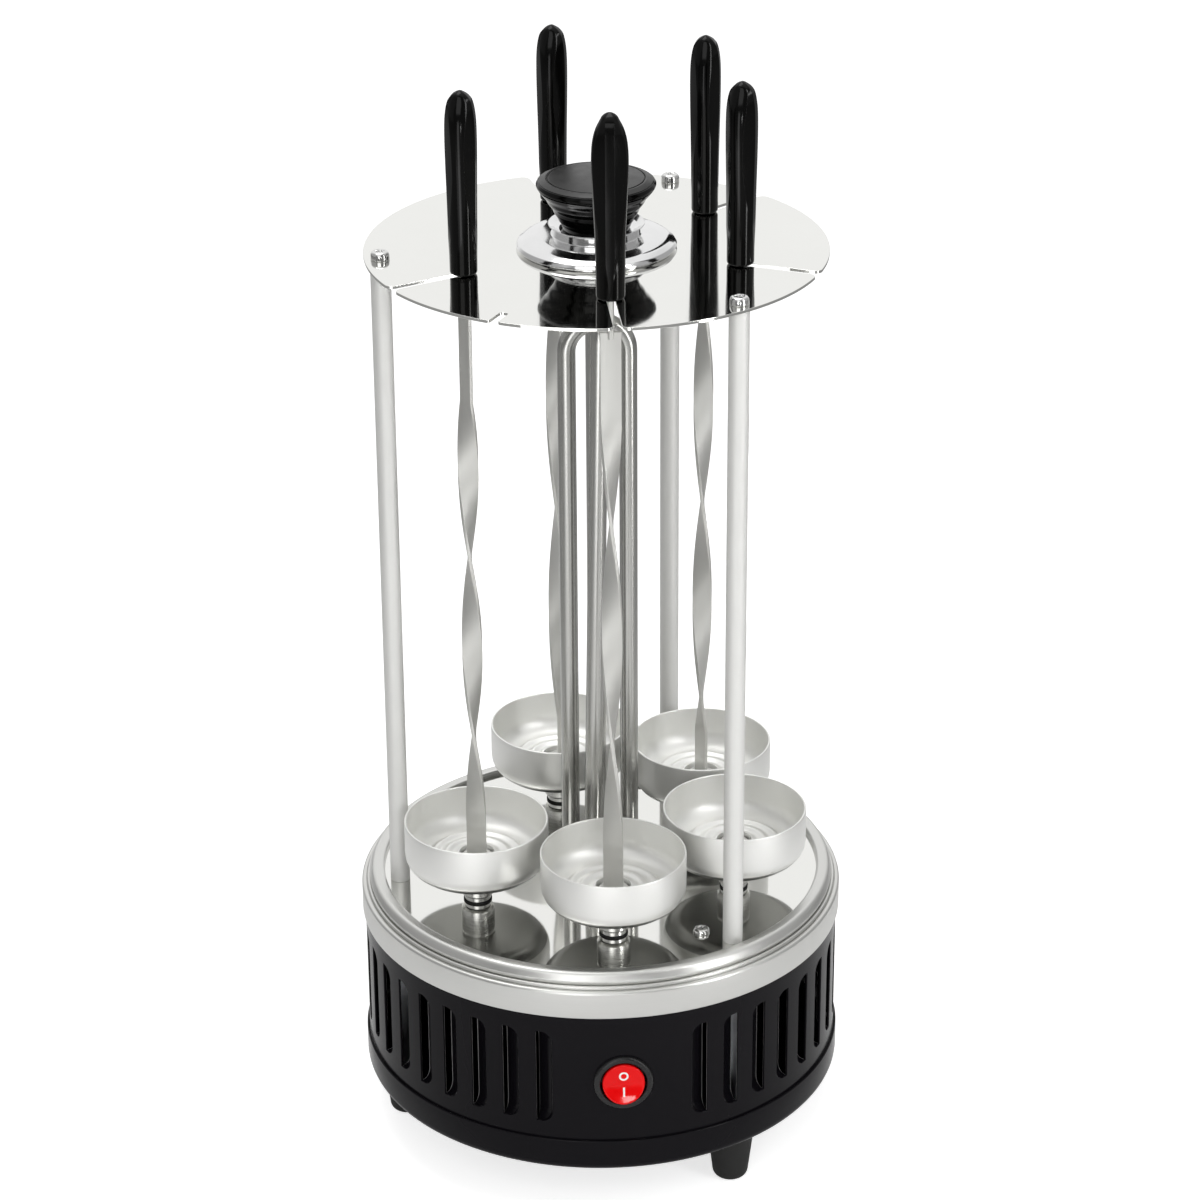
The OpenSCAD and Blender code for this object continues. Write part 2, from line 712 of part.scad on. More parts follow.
module at_motor_ears(z = 0) {
    at(station_r, motor_a, z) for (s = [-1, 1])
        rotate(motor_a) translate([0, s * motor_ear_off, 0]) children();
}

motor_wall = 2;
motor_journal_z = motor_z0 + 0.5 * motor_wall;
rotor_gap = 1.5;
ear_t = 2;

module motor_body() {
    ear_r = 4;
    color(zinc) difference() {
        union() {
            at(station_r, motor_a, motor_z0) cylinder(r = motor_r, h = motor_h);
            at_motor_ears(gear_plate_under - ear_t) cylinder(r = ear_r, h = ear_t);
            at(station_r, motor_a, gear_plate_under - ear_t) rotate(motor_a)
                translate([-ear_r, -motor_ear_off, 0]) cube([2 * ear_r, 2 * motor_ear_off, ear_t]);
        }
        at(station_r, motor_a, motor_journal_z) cylinder(d = motor_shaft_d + 2 * run_gap, h = motor_h);
        at(station_r, motor_a, motor_z0 + 2 * motor_wall)
            cylinder(r = motor_r - motor_wall, h = motor_h - 3 * motor_wall);
        at_motor_ears(gear_plate_under - ear_t - 1) cylinder(d = small_screw_d + 2 * hole_gap, h = ear_t + 2);
    }
}

module motor_rotor() {
    rotor_r = motor_r - motor_wall - rotor_gap;
    rotor_h = motor_h - 3 * motor_wall - 2 * rotor_gap;
    color(zinc) at(station_r, motor_a, motor_z0 + 2 * motor_wall + rotor_gap)
        tube(rotor_r, motor_shaft_d / 2 + thread_gap, rotor_h);
}

module motor_shaft() {
    end_gap = 0.2;
    color(satin_steel) at(station_r, motor_a, motor_journal_z + end_gap)
        cylinder(d = motor_shaft_d, h = gear_z0 + gear_w - motor_journal_z - end_gap);
}

module motor_pinion() {
    color(nylon) planet(motor_a, motor_shaft_d);
}

module motor_screws() {
    color(zinc) at_motor_ears(gear_plate_under - ear_t) rotate([180, 0, 0])
        pan_screw(small_screw_d, small_head_r, small_head_h, ear_t + gear_plate_t);
}

bush_flange_r = 9;
bush_flange_h = 3;
bush_z0 = deck_under - bush_flange_h - 3;

module spindle_bushes() {
    color(brass) at_stations() difference() {
        union() {
            translate([0, 0, bush_z0]) cylinder(d = bush_d, h = bush_top - bush_z0);
            translate([0, 0, deck_under - bush_flange_h]) cylinder(r = bush_flange_r, h = bush_flange_h);
        }
        translate([0, 0, bush_z0 - 1]) cylinder(d = shaft_d + 2 * run_gap, h = bush_top - bush_z0 + 2);
    }
}

module shaft_seals() {
    seal_h = 0.9;
    seal_w = 0.9;
    color(rubber) at_stations(deck_z) tube(bush_d / 2 + seal_w, bush_d / 2 + thread_gap, seal_h);
}

// Stations

rivet_r = 6.2;
rivet_h = 1;
spigot_d = 10.4;
socket_floor_z = cup_z0 + cup_wall + rivet_h - tip_depth - 0.5;

module spindle(i) {
    socket = [blade_w + 2 * socket_gap, blade_t + 2 * socket_gap];
    ease = 0.8;
    color(aluminium) at(station_r, station_a(i)) difference() {
        union() {
            translate([0, 0, gear_plate_under - 1]) cylinder(d = journal_d, h = gear_plate_t + 2);
            translate([0, 0, gear_plate_top]) cylinder(d = shaft_d, h = collar_z0 + 1 - gear_plate_top);
            rotate_extrude() polygon([[0, collar_z0], [collar_d / 2 - ease, collar_z0],
                [collar_d / 2, collar_z0 + ease], [collar_d / 2, cup_z0], [0, cup_z0]]);
            translate([0, 0, cup_z0]) cylinder(d = spigot_d, h = cup_wall);
            translate([0, 0, cup_z0 + cup_wall]) cylinder(r = rivet_r, h = rivet_h);
        }
        rotate(blade_turn(i, twist_z0)) translate([-socket[0] / 2, -socket[1] / 2, socket_floor_z])
            cube([socket[0], socket[1], cup_h]);
    }
}

module drip_cup(i) {
    corner = [cup_r - cup_corner_r, cup_z0 + cup_corner_r];
    step_r = [cup_r - cup_corner_r - 10.4, cup_r - cup_corner_r - 4.4];
    step_h = 0.8;
    w = cup_wall;
    color(aluminium) at(station_r, station_a(i)) rotate_extrude() polygon(concat(
        [[spigot_d / 2 + thread_gap, cup_z0], [step_r[0], cup_z0], [step_r[0] + step_h, cup_z0 + step_h],
         [step_r[1], cup_z0 + step_h], [step_r[1] + step_h, cup_z0]],
        arc(corner, cup_corner_r, -90, 0), [[cup_r, cup_rim_z], [cup_r - w, cup_rim_z]],
        arc(corner, cup_corner_r - w, 0, -90),
        [[step_r[1] + step_h + w / 2, cup_z0 + w], [step_r[1] + w / 2, cup_z0 + step_h + w],
         [step_r[0] + step_h - w / 2, cup_z0 + step_h + w], [step_r[0] - w / 2, cup_z0 + w],
         [spigot_d / 2 + thread_gap, cup_z0 + w]]));
}

// Skewers

// Height where each blade turns its edge to the front, and the height of half a turn
blade_edge_z = [188, 197, 178, 168, 152];
blade_half_turn = [79, 95, 90, 90, 98];
edge_view_a = 85;
handle_turn = [80, 0, 70, 80, 75];
twist_z0 = cup_rim_z + 4;
twist_z1 = plate_z0 - neck_below - 4;
twist_steps = 44;
blade_tip_z = cup_z0 + cup_wall + rivet_h - tip_depth;
blade_top_z = plate_z0 - neck_below;

function blade_turn(i, z) = edge_view_a
    - 180 * (min(max(z, twist_z0), twist_z1) - blade_edge_z[i]) / blade_half_turn[i];

function blade_ring(i, z, half_w) =
    let (c = polar(station_r, station_a(i)), a = blade_turn(i, z), t = blade_t / 2)
    [for (p = [[half_w, -t], [half_w, t], [-half_w, t], [-half_w, -t]])
        [c[0] + p[0] * cos(a) - p[1] * sin(a), c[1] + p[0] * sin(a) + p[1] * cos(a), z]];

module skewer_blade(i) {
    point_len = 5;
    neck_lap = 3;
    heights = concat([blade_tip_z + point_len],
        [for (k = [0 : twist_steps]) twist_z0 + (twist_z1 - twist_z0) * k / twist_steps], [blade_top_z]);
    color(blade_steel) {
        loft(concat([blade_ring(i, blade_tip_z, blade_w / 4)],
            [for (z = heights) blade_ring(i, z, blade_w / 2)]));
        at(station_r, station_a(i), blade_top_z - neck_lap)
            cylinder(d = neck_d, h = handle_z0 + tang_len - blade_top_z + neck_lap);
    }
}

// Half width and half depth of a handle along its length, from the plate to the tip
handle_half_w = [[0, 5.5], [0.33, 5.8], [0.5, 6.3], [0.7, 7], [0.84, 6.6], [0.92, 5.2], [1, 2.4]];
handle_half_d = [[0, 5.2], [0.33, 5.4], [0.5, 5.6], [0.7, 5.9], [0.84, 5.6], [0.92, 4.9], [1, 2.4]];
handle_levels = [0, 0.12, 0.25, 0.38, 0.5, 0.6, 0.7, 0.8, 0.88, 0.94, 0.98, 1];
handle_sides = 16;

function rounded_box_point(a, w, d) = let (k = 0.62, c = cos(a), s = sin(a))
    [w * sign(c) * pow(abs(c), k), d * sign(s) * pow(abs(s), k)];

module skewer_handle(i) {
    rings = [for (t = handle_levels) [for (k = [0 : handle_sides - 1])
        let (a = 360 / handle_sides * (k + 0.5),
             p = rounded_box_point(a, lookup(t, handle_half_w), lookup(t, handle_half_d)))
            [p[0], p[1], t * handle_len]]];
    color(bakelite) at(station_r, station_a(i), handle_z0) difference() {
        rotate(edge_view_a - 90 + handle_turn[i]) loft(rings);
        translate([0, 0, -1]) cylinder(d = neck_d + 2 * thread_gap, h = tang_len + 1.2);
    }
}

// Switch and cord inlet

gland_r = 5.2;
switch_face = drum_r + bezel_t;
pivot_in = 0.5;
pivot_pin_d = 2;

// Switch frame: z outward, y up
module switch_place() {
    translate([0, -drum_r, switch_z]) rotate([90, 0, 0]) children();
}

module inlet_place() {
    translate([0, drum_r, inlet_z]) rotate([-90, 0, 0]) children();
}

module pivot_place() {
    switch_place() translate([0, 0, bezel_t - pivot_in]) children();
}

module switch_housing() {
    bore_r = rocker_r + rocker_gap;
    cavity = 8.6;
    color(bakelite) difference() {
        union() {
            difference() {
                switch_place() translate([0, 0, -2]) rotate_extrude() polygon(concat([[0, 0], [bezel_r, 0]],
                    arc([bezel_r - 1, bezel_t + 1], 1, 0, 90, 5), [[0, bezel_t + 2]]));
                cylinder(r = drum_r, h = lip_top);
            }
            switch_place() translate([0, 0, -switch_depth]) cylinder(r = switch_body_r, h = switch_depth + 1);
        }
        pivot_place() translate([0, 0, -cavity]) cylinder(r = bore_r, h = cavity + 5);
        pivot_place() translate([-bore_r - 1.2, 0, 0]) rotate([0, 90, 0])
            cylinder(d = pivot_pin_d + 2 * run_gap, h = 2 * bore_r + 2.4);
    }
}

module rocker() {
    half_v = rocker_swing / 2;
    depth = 4;
    horn = rocker_r * tan(half_v) + pivot_in;
    color(signal_red) pivot_place() rotate([-half_v, 0, 0]) {
        intersection() {
            sphere(r = rocker_r);
            translate([-rocker_r, 0, 0]) rotate([90, 0, 90]) linear_extrude(2 * rocker_r)
                polygon([[-rocker_r, -depth], [rocker_r, -depth], [rocker_r, horn], [0, pivot_in],
                    [-rocker_r, horn]]);
        }
        translate([-rocker_r - 1, 0, 0]) rotate([0, 90, 0]) cylinder(d = pivot_pin_d, h = 2 * rocker_r + 2);
    }
}

module cord_gland() {
    proud = bezel_t - pivot_in + rocker_r * sin(rocker_swing);
    color(rubber) difference() {
        union() {
            difference() {
                inlet_place() translate([0, 0, -1])
                    cylinder(r1 = gland_r + 3, r2 = gland_r + 1.5, h = proud + 1);
                cylinder(r = drum_r, h = lip_top);
            }
            inlet_place() translate([0, 0, -6]) cylinder(r = gland_r, h = 7);
            inlet_place() translate([0, 0, -6]) cylinder(r = gland_r + 1.5, h = 3.5);
        }
        inlet_place() translate([0, 0, -7]) cylinder(r = inlet_r, h = proud + 8);
    }
}

// Wiring in the base

block_size = [34, 16, 13];
block_from_wall = 33;
block_at = [0, drum_r - block_from_wall, pan_floor_z];
wire_d = 2.2;

module terminal_block() {
    color(ceramic) translate(block_at) difference() {
        translate([-block_size[0] / 2, -block_size[1] / 2, 0]) cube(block_size);
        for (k = [-1 : 1]) translate([k * 10, 0, block_size[2] - 5]) {
            cylinder(d = 5, h = 6);
            translate([0, block_size[1], 0.5]) rotate([90, 0, 0])
                cylinder(d = wire_d + 0.4, h = 2 * block_size[1]);
        }
    }
}

function bezier(p, t) = pow(1 - t, 3) * p[0] + 3 * t * pow(1 - t, 2) * p[1] + 3 * t * t * (1 - t) * p[2]
    + pow(t, 3) * p[3];

// One insulated lead, given by its ends and two pulls
module wire(pulls) {
    steps = 14;
    sweep([for (k = [0 : steps]) bezier(pulls, k / steps)], wire_d, 8, [1, 0.2, 0.1]);
}

module wiring() {
    end_gap = 0.2;
    block_z = pan_floor_z + block_size[2] - 4.5;
    block_in = block_at[1] - block_size[1] / 2 + 4;
    pin_z = leg_foot_z - insulator_h - pin_below - end_gap;
    switch_back = -drum_r + switch_depth + end_gap;
    low_z = pan_floor_z + 8;
    color(wire_grey) {
        wire([[-10, block_in, block_z], [-10, 0, block_z], [-5, 0, switch_z], [-5, switch_back, switch_z]]);
        wire([[5, switch_back, switch_z], [5, 0.4 * switch_back, switch_z],
            [leg_feet[1][0], 0, low_z], [leg_feet[1][0], 0, pin_z]]);
        wire([[10, block_in, block_z], [10, 10, block_z], [leg_feet[2][0], leg_feet[2][1], low_z],
            [leg_feet[2][0], leg_feet[2][1], pin_z]]);
    }
}

base_pan();
feet();
foot_screws();
posts();
base_shell();
rim_ring();
deck_plate();
deck_screws();
spacers();
gear_plate();
columns();
top_plate();
column_screws();
knob_dish();
knob();
knob_screw();
heater_hub();
heater_flange();
heater_loop_low();
heater_loop_high();
heater_insulators();
heater_terminals();
sun_gear();
motor_body();
motor_rotor();
motor_shaft();
motor_pinion();
motor_screws();
spindle_bushes();
shaft_seals();
switch_housing();
rocker();
cord_gland();
terminal_block();
wiring();
for (i = [0 : stations - 1]) {
    spindle(i);
    spindle_gear(i);
    drip_cup(i);
    skewer_blade(i);
    skewer_handle(i);
}
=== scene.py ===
# Upright electric skewer grill, dressed piece by piece in the order in which it is put together.
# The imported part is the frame; lengths are written in millimetres and turned into metres by mm.
import math

import bmesh
import bpy
from mathutils import Matrix, Vector


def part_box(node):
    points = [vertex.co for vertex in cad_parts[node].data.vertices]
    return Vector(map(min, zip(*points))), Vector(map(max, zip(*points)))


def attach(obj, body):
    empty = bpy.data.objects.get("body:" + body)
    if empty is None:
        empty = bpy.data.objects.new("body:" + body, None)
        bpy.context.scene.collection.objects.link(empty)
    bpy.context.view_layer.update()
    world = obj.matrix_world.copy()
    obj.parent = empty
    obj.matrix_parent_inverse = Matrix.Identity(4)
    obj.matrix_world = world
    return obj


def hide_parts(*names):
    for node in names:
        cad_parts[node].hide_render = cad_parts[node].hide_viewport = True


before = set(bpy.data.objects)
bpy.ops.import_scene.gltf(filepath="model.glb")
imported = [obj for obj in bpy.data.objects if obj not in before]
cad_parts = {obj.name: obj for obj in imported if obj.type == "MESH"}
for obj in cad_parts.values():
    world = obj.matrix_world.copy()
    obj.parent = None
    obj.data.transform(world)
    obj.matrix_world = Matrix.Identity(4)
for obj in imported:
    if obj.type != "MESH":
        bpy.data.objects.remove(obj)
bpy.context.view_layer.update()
scene = bpy.context.scene
scene.view_settings.view_transform = "Standard"
mm = 0.001

# Camera
# It stands in front of the switch, a little to the left and well above the base, with a long lens.
view_target = Vector((0.5, 0.0, 232.9)) * mm
view_distance = 1479 * mm
view_direction = math.radians(-95)
view_elevation = math.radians(24.96)
view_roll = math.radians(-0.37)
frame_px = 1200
focal_px = 3646.7

camera_data = bpy.data.cameras.new("camera")
camera_data.sensor_width = 36
camera_data.lens = camera_data.sensor_width * focal_px / frame_px
camera = bpy.data.objects.new("camera", camera_data)
scene.collection.objects.link(camera)
view_back = Vector((math.cos(view_elevation) * math.cos(view_direction),
                    math.cos(view_elevation) * math.sin(view_direction), math.sin(view_elevation)))
camera.matrix_world = (Matrix.Translation(view_target + view_back * view_distance)
                       @ view_back.to_track_quat("Z", "Y").to_matrix().to_4x4()
                       @ Matrix.Rotation(view_roll, 4, "Z"))
scene.camera = camera


# Studio
# A white room: a sweep of plain pale paper runs under the object from front to back, with strip lamps in
# front and a broad lamp above. The sides and the camera's end are unlit, which only the metal mirrors.
def add(tree, kind, values=(), **settings):
    """Adds a node with these settings, and puts plain values or other sockets on its inputs."""
    node = tree.nodes.new(kind)
    for setting, value in settings.items():
        setattr(node, setting, value)
    for key, value in dict(values).items():
        if isinstance(value, bpy.types.NodeSocket):
            tree.links.new(value, node.inputs[key])
        else:
            node.inputs[key].default_value = value
    return node


def sums(tree, operation, *values):
    """Arithmetic on sockets or numbers."""
    return add(tree, "ShaderNodeMath", dict(enumerate(values)), operation=operation).outputs[0]


def ramp(tree, value, start, end):
    """Soft step from 0 to 1 between two values."""
    return add(tree, "ShaderNodeMapRange", {0: value, 1: start, 2: end},
               interpolation_type="SMOOTHSTEP").outputs[0]


room_light = 0.38
side_shade, front_shade = 0.56, 0.8
side_from, side_full = 0.45, 0.8
front_from, front_full = -0.25, -0.65
white = (1, 1, 1, 1)
world = bpy.data.worlds.new("studio")
world.use_nodes = True
tree = world.node_tree
tree.nodes.clear()
rays = add(tree, "ShaderNodeLightPath").outputs
towards = add(tree, "ShaderNodeSeparateXYZ",
              {0: add(tree, "ShaderNodeTexCoord").outputs["Generated"]}).outputs
sideways = ramp(tree, sums(tree, "ABSOLUTE", towards["X"]), side_from, side_full)
at_sides = sums(tree, "MULTIPLY", sideways, side_shade)
in_front = sums(tree, "MULTIPLY", ramp(tree, towards["Y"], front_from, front_full), front_shade)
unlit = sums(tree, "MULTIPLY", sums(tree, "MAXIMUM", at_sides, in_front), rays["Is Glossy Ray"])
seen = sums(tree, "MAXIMUM", sums(tree, "MAXIMUM", rays["Is Camera Ray"], rays["Is Glossy Ray"]),
            rays["Is Transmission Ray"])
room = add(tree, "ShaderNodeMixShader", {
    0: seen,
    1: add(tree, "ShaderNodeBackground", {"Strength": room_light, "Color": white}).outputs[0],
    2: add(tree, "ShaderNodeBackground",
           {"Strength": sums(tree, "SUBTRACT", 1.0, unlit), "Color": white}).outputs[0]})
add(tree, "ShaderNodeOutputWorld", {"Surface": room.outputs[0]})
scene.world = world

floor_half = 30.0
paper_half, paper_front = 0.36, -0.8
fade_in, fade_out, front_fade = 0.1, 0.16, 0.2
paper_lift, mirrored_lift = 0.68, 0.14
paper_tone, unlit_tone = (0.86, 0.86, 0.86, 1), (0.02, 0.02, 0.02, 1)
floor_corners = ((-1, -1), (1, -1), (1, 1), (-1, 1))
floor_mesh = bpy.data.meshes.new("floor")
floor_mesh.from_pydata([(x * floor_half, y * floor_half, 0) for x, y in floor_corners], [], [(0, 1, 2, 3)])
floor = bpy.data.objects.new("floor", floor_mesh)
scene.collection.objects.link(floor)
floor_paper = bpy.data.materials.new("floor_paper")
floor_paper.use_nodes = True
tree = floor_paper.node_tree
tree.nodes.clear()
rays = add(tree, "ShaderNodeLightPath").outputs
spot = add(tree, "ShaderNodeSeparateXYZ", {0: add(tree, "ShaderNodeTexCoord").outputs["Object"]}).outputs
off_paper = sums(tree, "MAXIMUM",
                 ramp(tree, sums(tree, "ABSOLUTE", spot["X"]), paper_half - fade_in, paper_half + fade_out),
                 ramp(tree, spot["Y"], paper_front, paper_front - front_fade))
unlit = sums(tree, "MULTIPLY", off_paper, sums(tree, "MULTIPLY", rays["Is Glossy Ray"], side_shade))
seen = sums(tree, "MAXIMUM", rays["Is Camera Ray"], rays["Is Transmission Ray"])
lift = sums(tree, "MULTIPLY_ADD", rays["Is Glossy Ray"], mirrored_lift,
            sums(tree, "MULTIPLY", seen, paper_lift))
paper = add(tree, "ShaderNodeAddShader", {
    0: add(tree, "ShaderNodeBsdfDiffuse", {"Color": paper_tone}).outputs[0],
    1: add(tree, "ShaderNodeEmission", {"Strength": lift}).outputs[0]})
shown = add(tree, "ShaderNodeMixShader", {
    0: unlit, 1: paper.outputs[0],
    2: add(tree, "ShaderNodeBsdfDiffuse", {"Color": unlit_tone}).outputs[0]})
add(tree, "ShaderNodeOutputMaterial", {"Surface": shown.outputs[0]})
floor_mesh.materials.append(floor_paper)


def soft_box(name, place, aim, width, height, power):
    """Rectangular studio lamp at a place, turned towards a point."""
    lamp = bpy.data.lights.new(name, "AREA")
    lamp.shape = "RECTANGLE"
    lamp.size = width
    lamp.size_y = height
    lamp.energy = power
    holder = bpy.data.objects.new(name, lamp)
    holder.visible_camera = False
    scene.collection.objects.link(holder)
    away = (Vector(place) - Vector(aim)).normalized()
    holder.matrix_world = Matrix.Translation(place) @ away.to_track_quat("Z", "Y").to_matrix().to_4x4()


soft_box("strip_left", place=(-0.25, -0.8, 0.25), aim=(0, 0, 0.3), width=0.2, height=0.46, power=0.8)
soft_box("bar_low", place=(-0.3, -0.72, 0.08), aim=(0, 0, 0.4), width=0.5, height=0.1, power=0.2)
soft_box("strip_right", place=(0.55, -0.52, 0.55), aim=(0, 0, 0.55), width=0.08, height=1.06, power=2.6)
soft_box("box_above", place=(-0.2, 0.3, 1.9), aim=(0, 0, 0.24), width=1.1, height=0.9, power=10)
soft_box("box_front", place=(-0.5, -1.7, 1.5), aim=(0, 0, 0.24), width=1.3, height=1.1, power=7.5)
soft_box("card_low", place=(0.166, -1.49, 0.285), aim=(0, -0.1, 0.06), width=0.13, height=0.13, power=1.0)


# Bottom pan
# A shallow tray pressed from sheet steel with a rounded lower edge and a plain lip, in black enamel.
# The drum stands inside its lip and the feet are screwed under it.
def eased(corners, steps=6, closed=True):
    """Outline through corners (x, y, ease), each rounded by an arc of the radius ease."""
    outline = []
    count = len(corners)
    for k, (x, y, ease) in enumerate(corners):
        here = Vector((x, y))
        if ease == 0 or (not closed and k in (0, count - 1)):
            outline.append(here)
            continue
        before = (Vector(corners[k - 1][:2]) - here).normalized()
        after = (Vector(corners[(k + 1) % count][:2]) - here).normalized()
        half = before.angle(after) / 2
        centre = here + (before + after).normalized() * (ease / math.sin(half))
        start = (here + before * (ease / math.tan(half)) - centre).normalized()
        end = (here + after * (ease / math.tan(half)) - centre).normalized()
        outline += [centre + start.slerp(end, j / steps) * ease for j in range(steps + 1)]
    return outline


def as_piece(name, work, sharp=40):
    """Turns a bmesh into an object at the origin, smooth but for edges sharper than an angle."""
    bmesh.ops.remove_doubles(work, verts=work.verts, dist=1e-7)
    bmesh.ops.recalc_face_normals(work, faces=work.faces)
    mesh = bpy.data.meshes.new(name)
    for face in work.faces:
        face.smooth = True
    work.to_mesh(mesh)
    work.free()
    mesh.set_sharp_from_angle(angle=math.radians(sharp))
    piece = bpy.data.objects.new(name, mesh)
    scene.collection.objects.link(piece)
    return piece


def turned(name, outline, centre=(0, 0), steps=160):
    """Piece turned on a lathe from a closed outline of radius and height in millimetres.
    Its UV map, turned, goes round with u and along the outline, a decimetre each, with v."""
    work = bmesh.new()
    uv = work.loops.layers.uv.new("turned")
    rings = []
    lengths = [0.0]
    for k, (radius, height) in enumerate(outline):
        if k:
            lengths.append(lengths[-1] + (Vector(outline[k]) - Vector(outline[k - 1])).length)
        spots = [(centre[0] + radius * math.cos(math.tau * j / steps),
                  centre[1] + radius * math.sin(math.tau * j / steps), height) for j in range(steps)]
        if radius < 1e-6:
            rings.append([work.verts.new(Vector(spots[0]) * mm)] * steps)
        else:
            rings.append([work.verts.new(Vector(spot) * mm) for spot in spots])
    lengths.append(lengths[-1] + (Vector(outline[0]) - Vector(outline[-1])).length)
    for i, ring in enumerate(rings):
        after = rings[(i + 1) % len(rings)]
        for j in range(steps):
            k = (j + 1) % steps
            corners = [(ring[j], j, i), (ring[k], j + 1, i), (after[k], j + 1, i + 1), (after[j], j, i + 1)]
            round_about = {vert: (u / steps, lengths[v] / 100) for vert, u, v in corners}
            if len(round_about) > 2:
                face = work.faces.new(list(round_about))
                for loop in face.loops:
                    loop[uv].uv = round_about[loop.vert]
    return as_piece(name, work)


def finish(name, color, roughness, metallic=0.0, **sockets):
    """Material of one finish; its plain values sit on the shader, and patterns are wired in after."""
    material = bpy.data.materials.new(name)
    material.use_nodes = True
    shader = material.node_tree.nodes["Principled BSDF"]
    shader.inputs["Base Color"].default_value = (*color, 1)
    shader.inputs["Roughness"].default_value = roughness
    shader.inputs["Metallic"].default_value = metallic
    for socket, value in sockets.items():
        shader.inputs[socket.replace("_", " ")].default_value = value
    return material, material.node_tree, shader


def spots_of(tree, scale, detail=3.0, stretch=(1, 1, 1)):
    """Soft noise over a surface, on Object coordinates, drawn out by stretch."""
    place = add(tree, "ShaderNodeTexCoord").outputs["Object"]
    mapped = add(tree, "ShaderNodeMapping", {"Vector": place, "Scale": stretch})
    noise = add(tree, "ShaderNodeTexNoise",
                {"Vector": mapped.outputs[0], "Scale": scale, "Detail": detail, "Roughness": 0.6})
    return noise.outputs[0]


def spread(tree, pattern, low, high):
    """Spreads a pattern over a range of plain numbers."""
    return add(tree, "ShaderNodeMapRange", {0: pattern, 1: 0.3, 2: 0.7, 3: low, 4: high}).outputs[0]


def blended(tree, pattern, first, second):
    """Blends a colour, or a socket that gives one, with a second colour by a pattern."""
    base = first if isinstance(first, bpy.types.NodeSocket) else (*first, 1)
    return add(tree, "ShaderNodeMix", {0: pattern, 6: base, 7: (*second, 1)}, data_type="RGBA").outputs[2]


def relief(tree, pattern, depth, strength):
    """Raises a pattern on the surface by a depth in millimetres."""
    bump = add(tree, "ShaderNodeBump", {"Height": pattern, "Strength": strength, "Distance": depth * mm})
    return bump.outputs[0]


def wired(shader, color, roughness, raised):
    """Wires patterns for the colour, the roughness and the relief into a finish."""
    for socket, pattern in (("Base Color", color), ("Roughness", roughness), ("Normal", raised)):
        shader.id_data.links.new(pattern, shader.inputs[socket])


# Satin enamel: a faint orange peel, cloudy gloss, and a violet cast
enamel, tree, shader = finish("black_enamel", (0.0045, 0.004, 0.0054), 0.2, Specular_IOR_Level=0.1,
                              Sheen_Weight=0.26, Sheen_Roughness=0.2)
clouds = spots_of(tree, 35)
wired(shader, blended(tree, clouds, (0.0038, 0.0033, 0.0046), (0.0052, 0.0047, 0.0062)),
      spread(tree, clouds, 0.17, 0.24), relief(tree, spots_of(tree, 420, 2), 0.03, 0.08))

pan_low, pan_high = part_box("base_pan")
pan_r, pan_floor, pan_lip = pan_high.x / mm, pan_low.z / mm, pan_high.z / mm
sheet, pan_corner, lip_ease = 1.0, 4.0, 0.35
base_pan = turned("base_pan_dressed", eased([
    (0, pan_floor, 0), (pan_r, pan_floor, pan_corner), (pan_r, pan_lip, lip_ease),
    (pan_r - sheet, pan_lip, lip_ease), (pan_r - sheet, pan_floor + sheet, pan_corner - sheet),
    (0, pan_floor + sheet, 0)]), steps=240)
base_pan.data.materials.append(enamel)
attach(base_pan, "root")
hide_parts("base_pan")


# Feet
# Three tapered feet, moulded in rubber and held by a screw in a deep hole from below. One stands under
# each column.
def node_tree(name, inputs):
    """New geometry tree with a mesh in and out and these named inputs; gives its two ends as well."""
    made = bpy.data.node_groups.new(name, "GeometryNodeTree")
    made.interface.new_socket("Geometry", in_out="INPUT", socket_type="NodeSocketGeometry")
    for label, kind in inputs:
        made.interface.new_socket(label, in_out="INPUT", socket_type="NodeSocket" + kind)
    made.interface.new_socket("Geometry", in_out="OUTPUT", socket_type="NodeSocketGeometry")
    return made, made.nodes.new("NodeGroupInput").outputs, made.nodes.new("NodeGroupOutput").inputs


def end_tree(made, shape, given, result):
    """Ends a geometry tree: its shape gets the finish that the tree is given."""
    dressed = add(made, "GeometryNodeSetMaterial",
                  {"Geometry": shape.outputs[0], "Material": given["Finish"]})
    made.links.new(dressed.outputs[0], result[0])


def grown(name, made, source, inputs):
    """Runs a geometry tree on a mesh and keeps the result as a plain mesh object at the origin."""
    piece = bpy.data.objects.new(name, source)
    scene.collection.objects.link(piece)
    modifier = piece.modifiers.new("shape", "NODES")
    modifier.node_group = made
    for socket in made.interface.items_tree:
        if socket.in_out == "INPUT" and socket.name in inputs:
            modifier[socket.identifier] = inputs[socket.name]
    return as_plain(piece)


def as_plain(piece):
    """Applies a piece's modifiers to its mesh."""
    bpy.context.view_layer.update()
    result = bpy.data.meshes.new_from_object(piece.evaluated_get(bpy.context.evaluated_depsgraph_get()))
    piece.modifiers.clear()
    piece.data = result
    result.name = piece.name
    return piece


def spots_mesh(places):
    """Mesh of bare points, given in millimetres, for pieces to be set out on."""
    mesh = bpy.data.meshes.new("places")
    mesh.from_pydata([Vector(place) * mm for place in places], [], [])
    return mesh


def on_ring(radius, angle, height=0.0):
    """Point in millimetres on a circle round the drum's axis; the angle is in degrees."""
    return Vector((radius * math.cos(math.radians(angle)), radius * math.sin(math.radians(angle)), height))


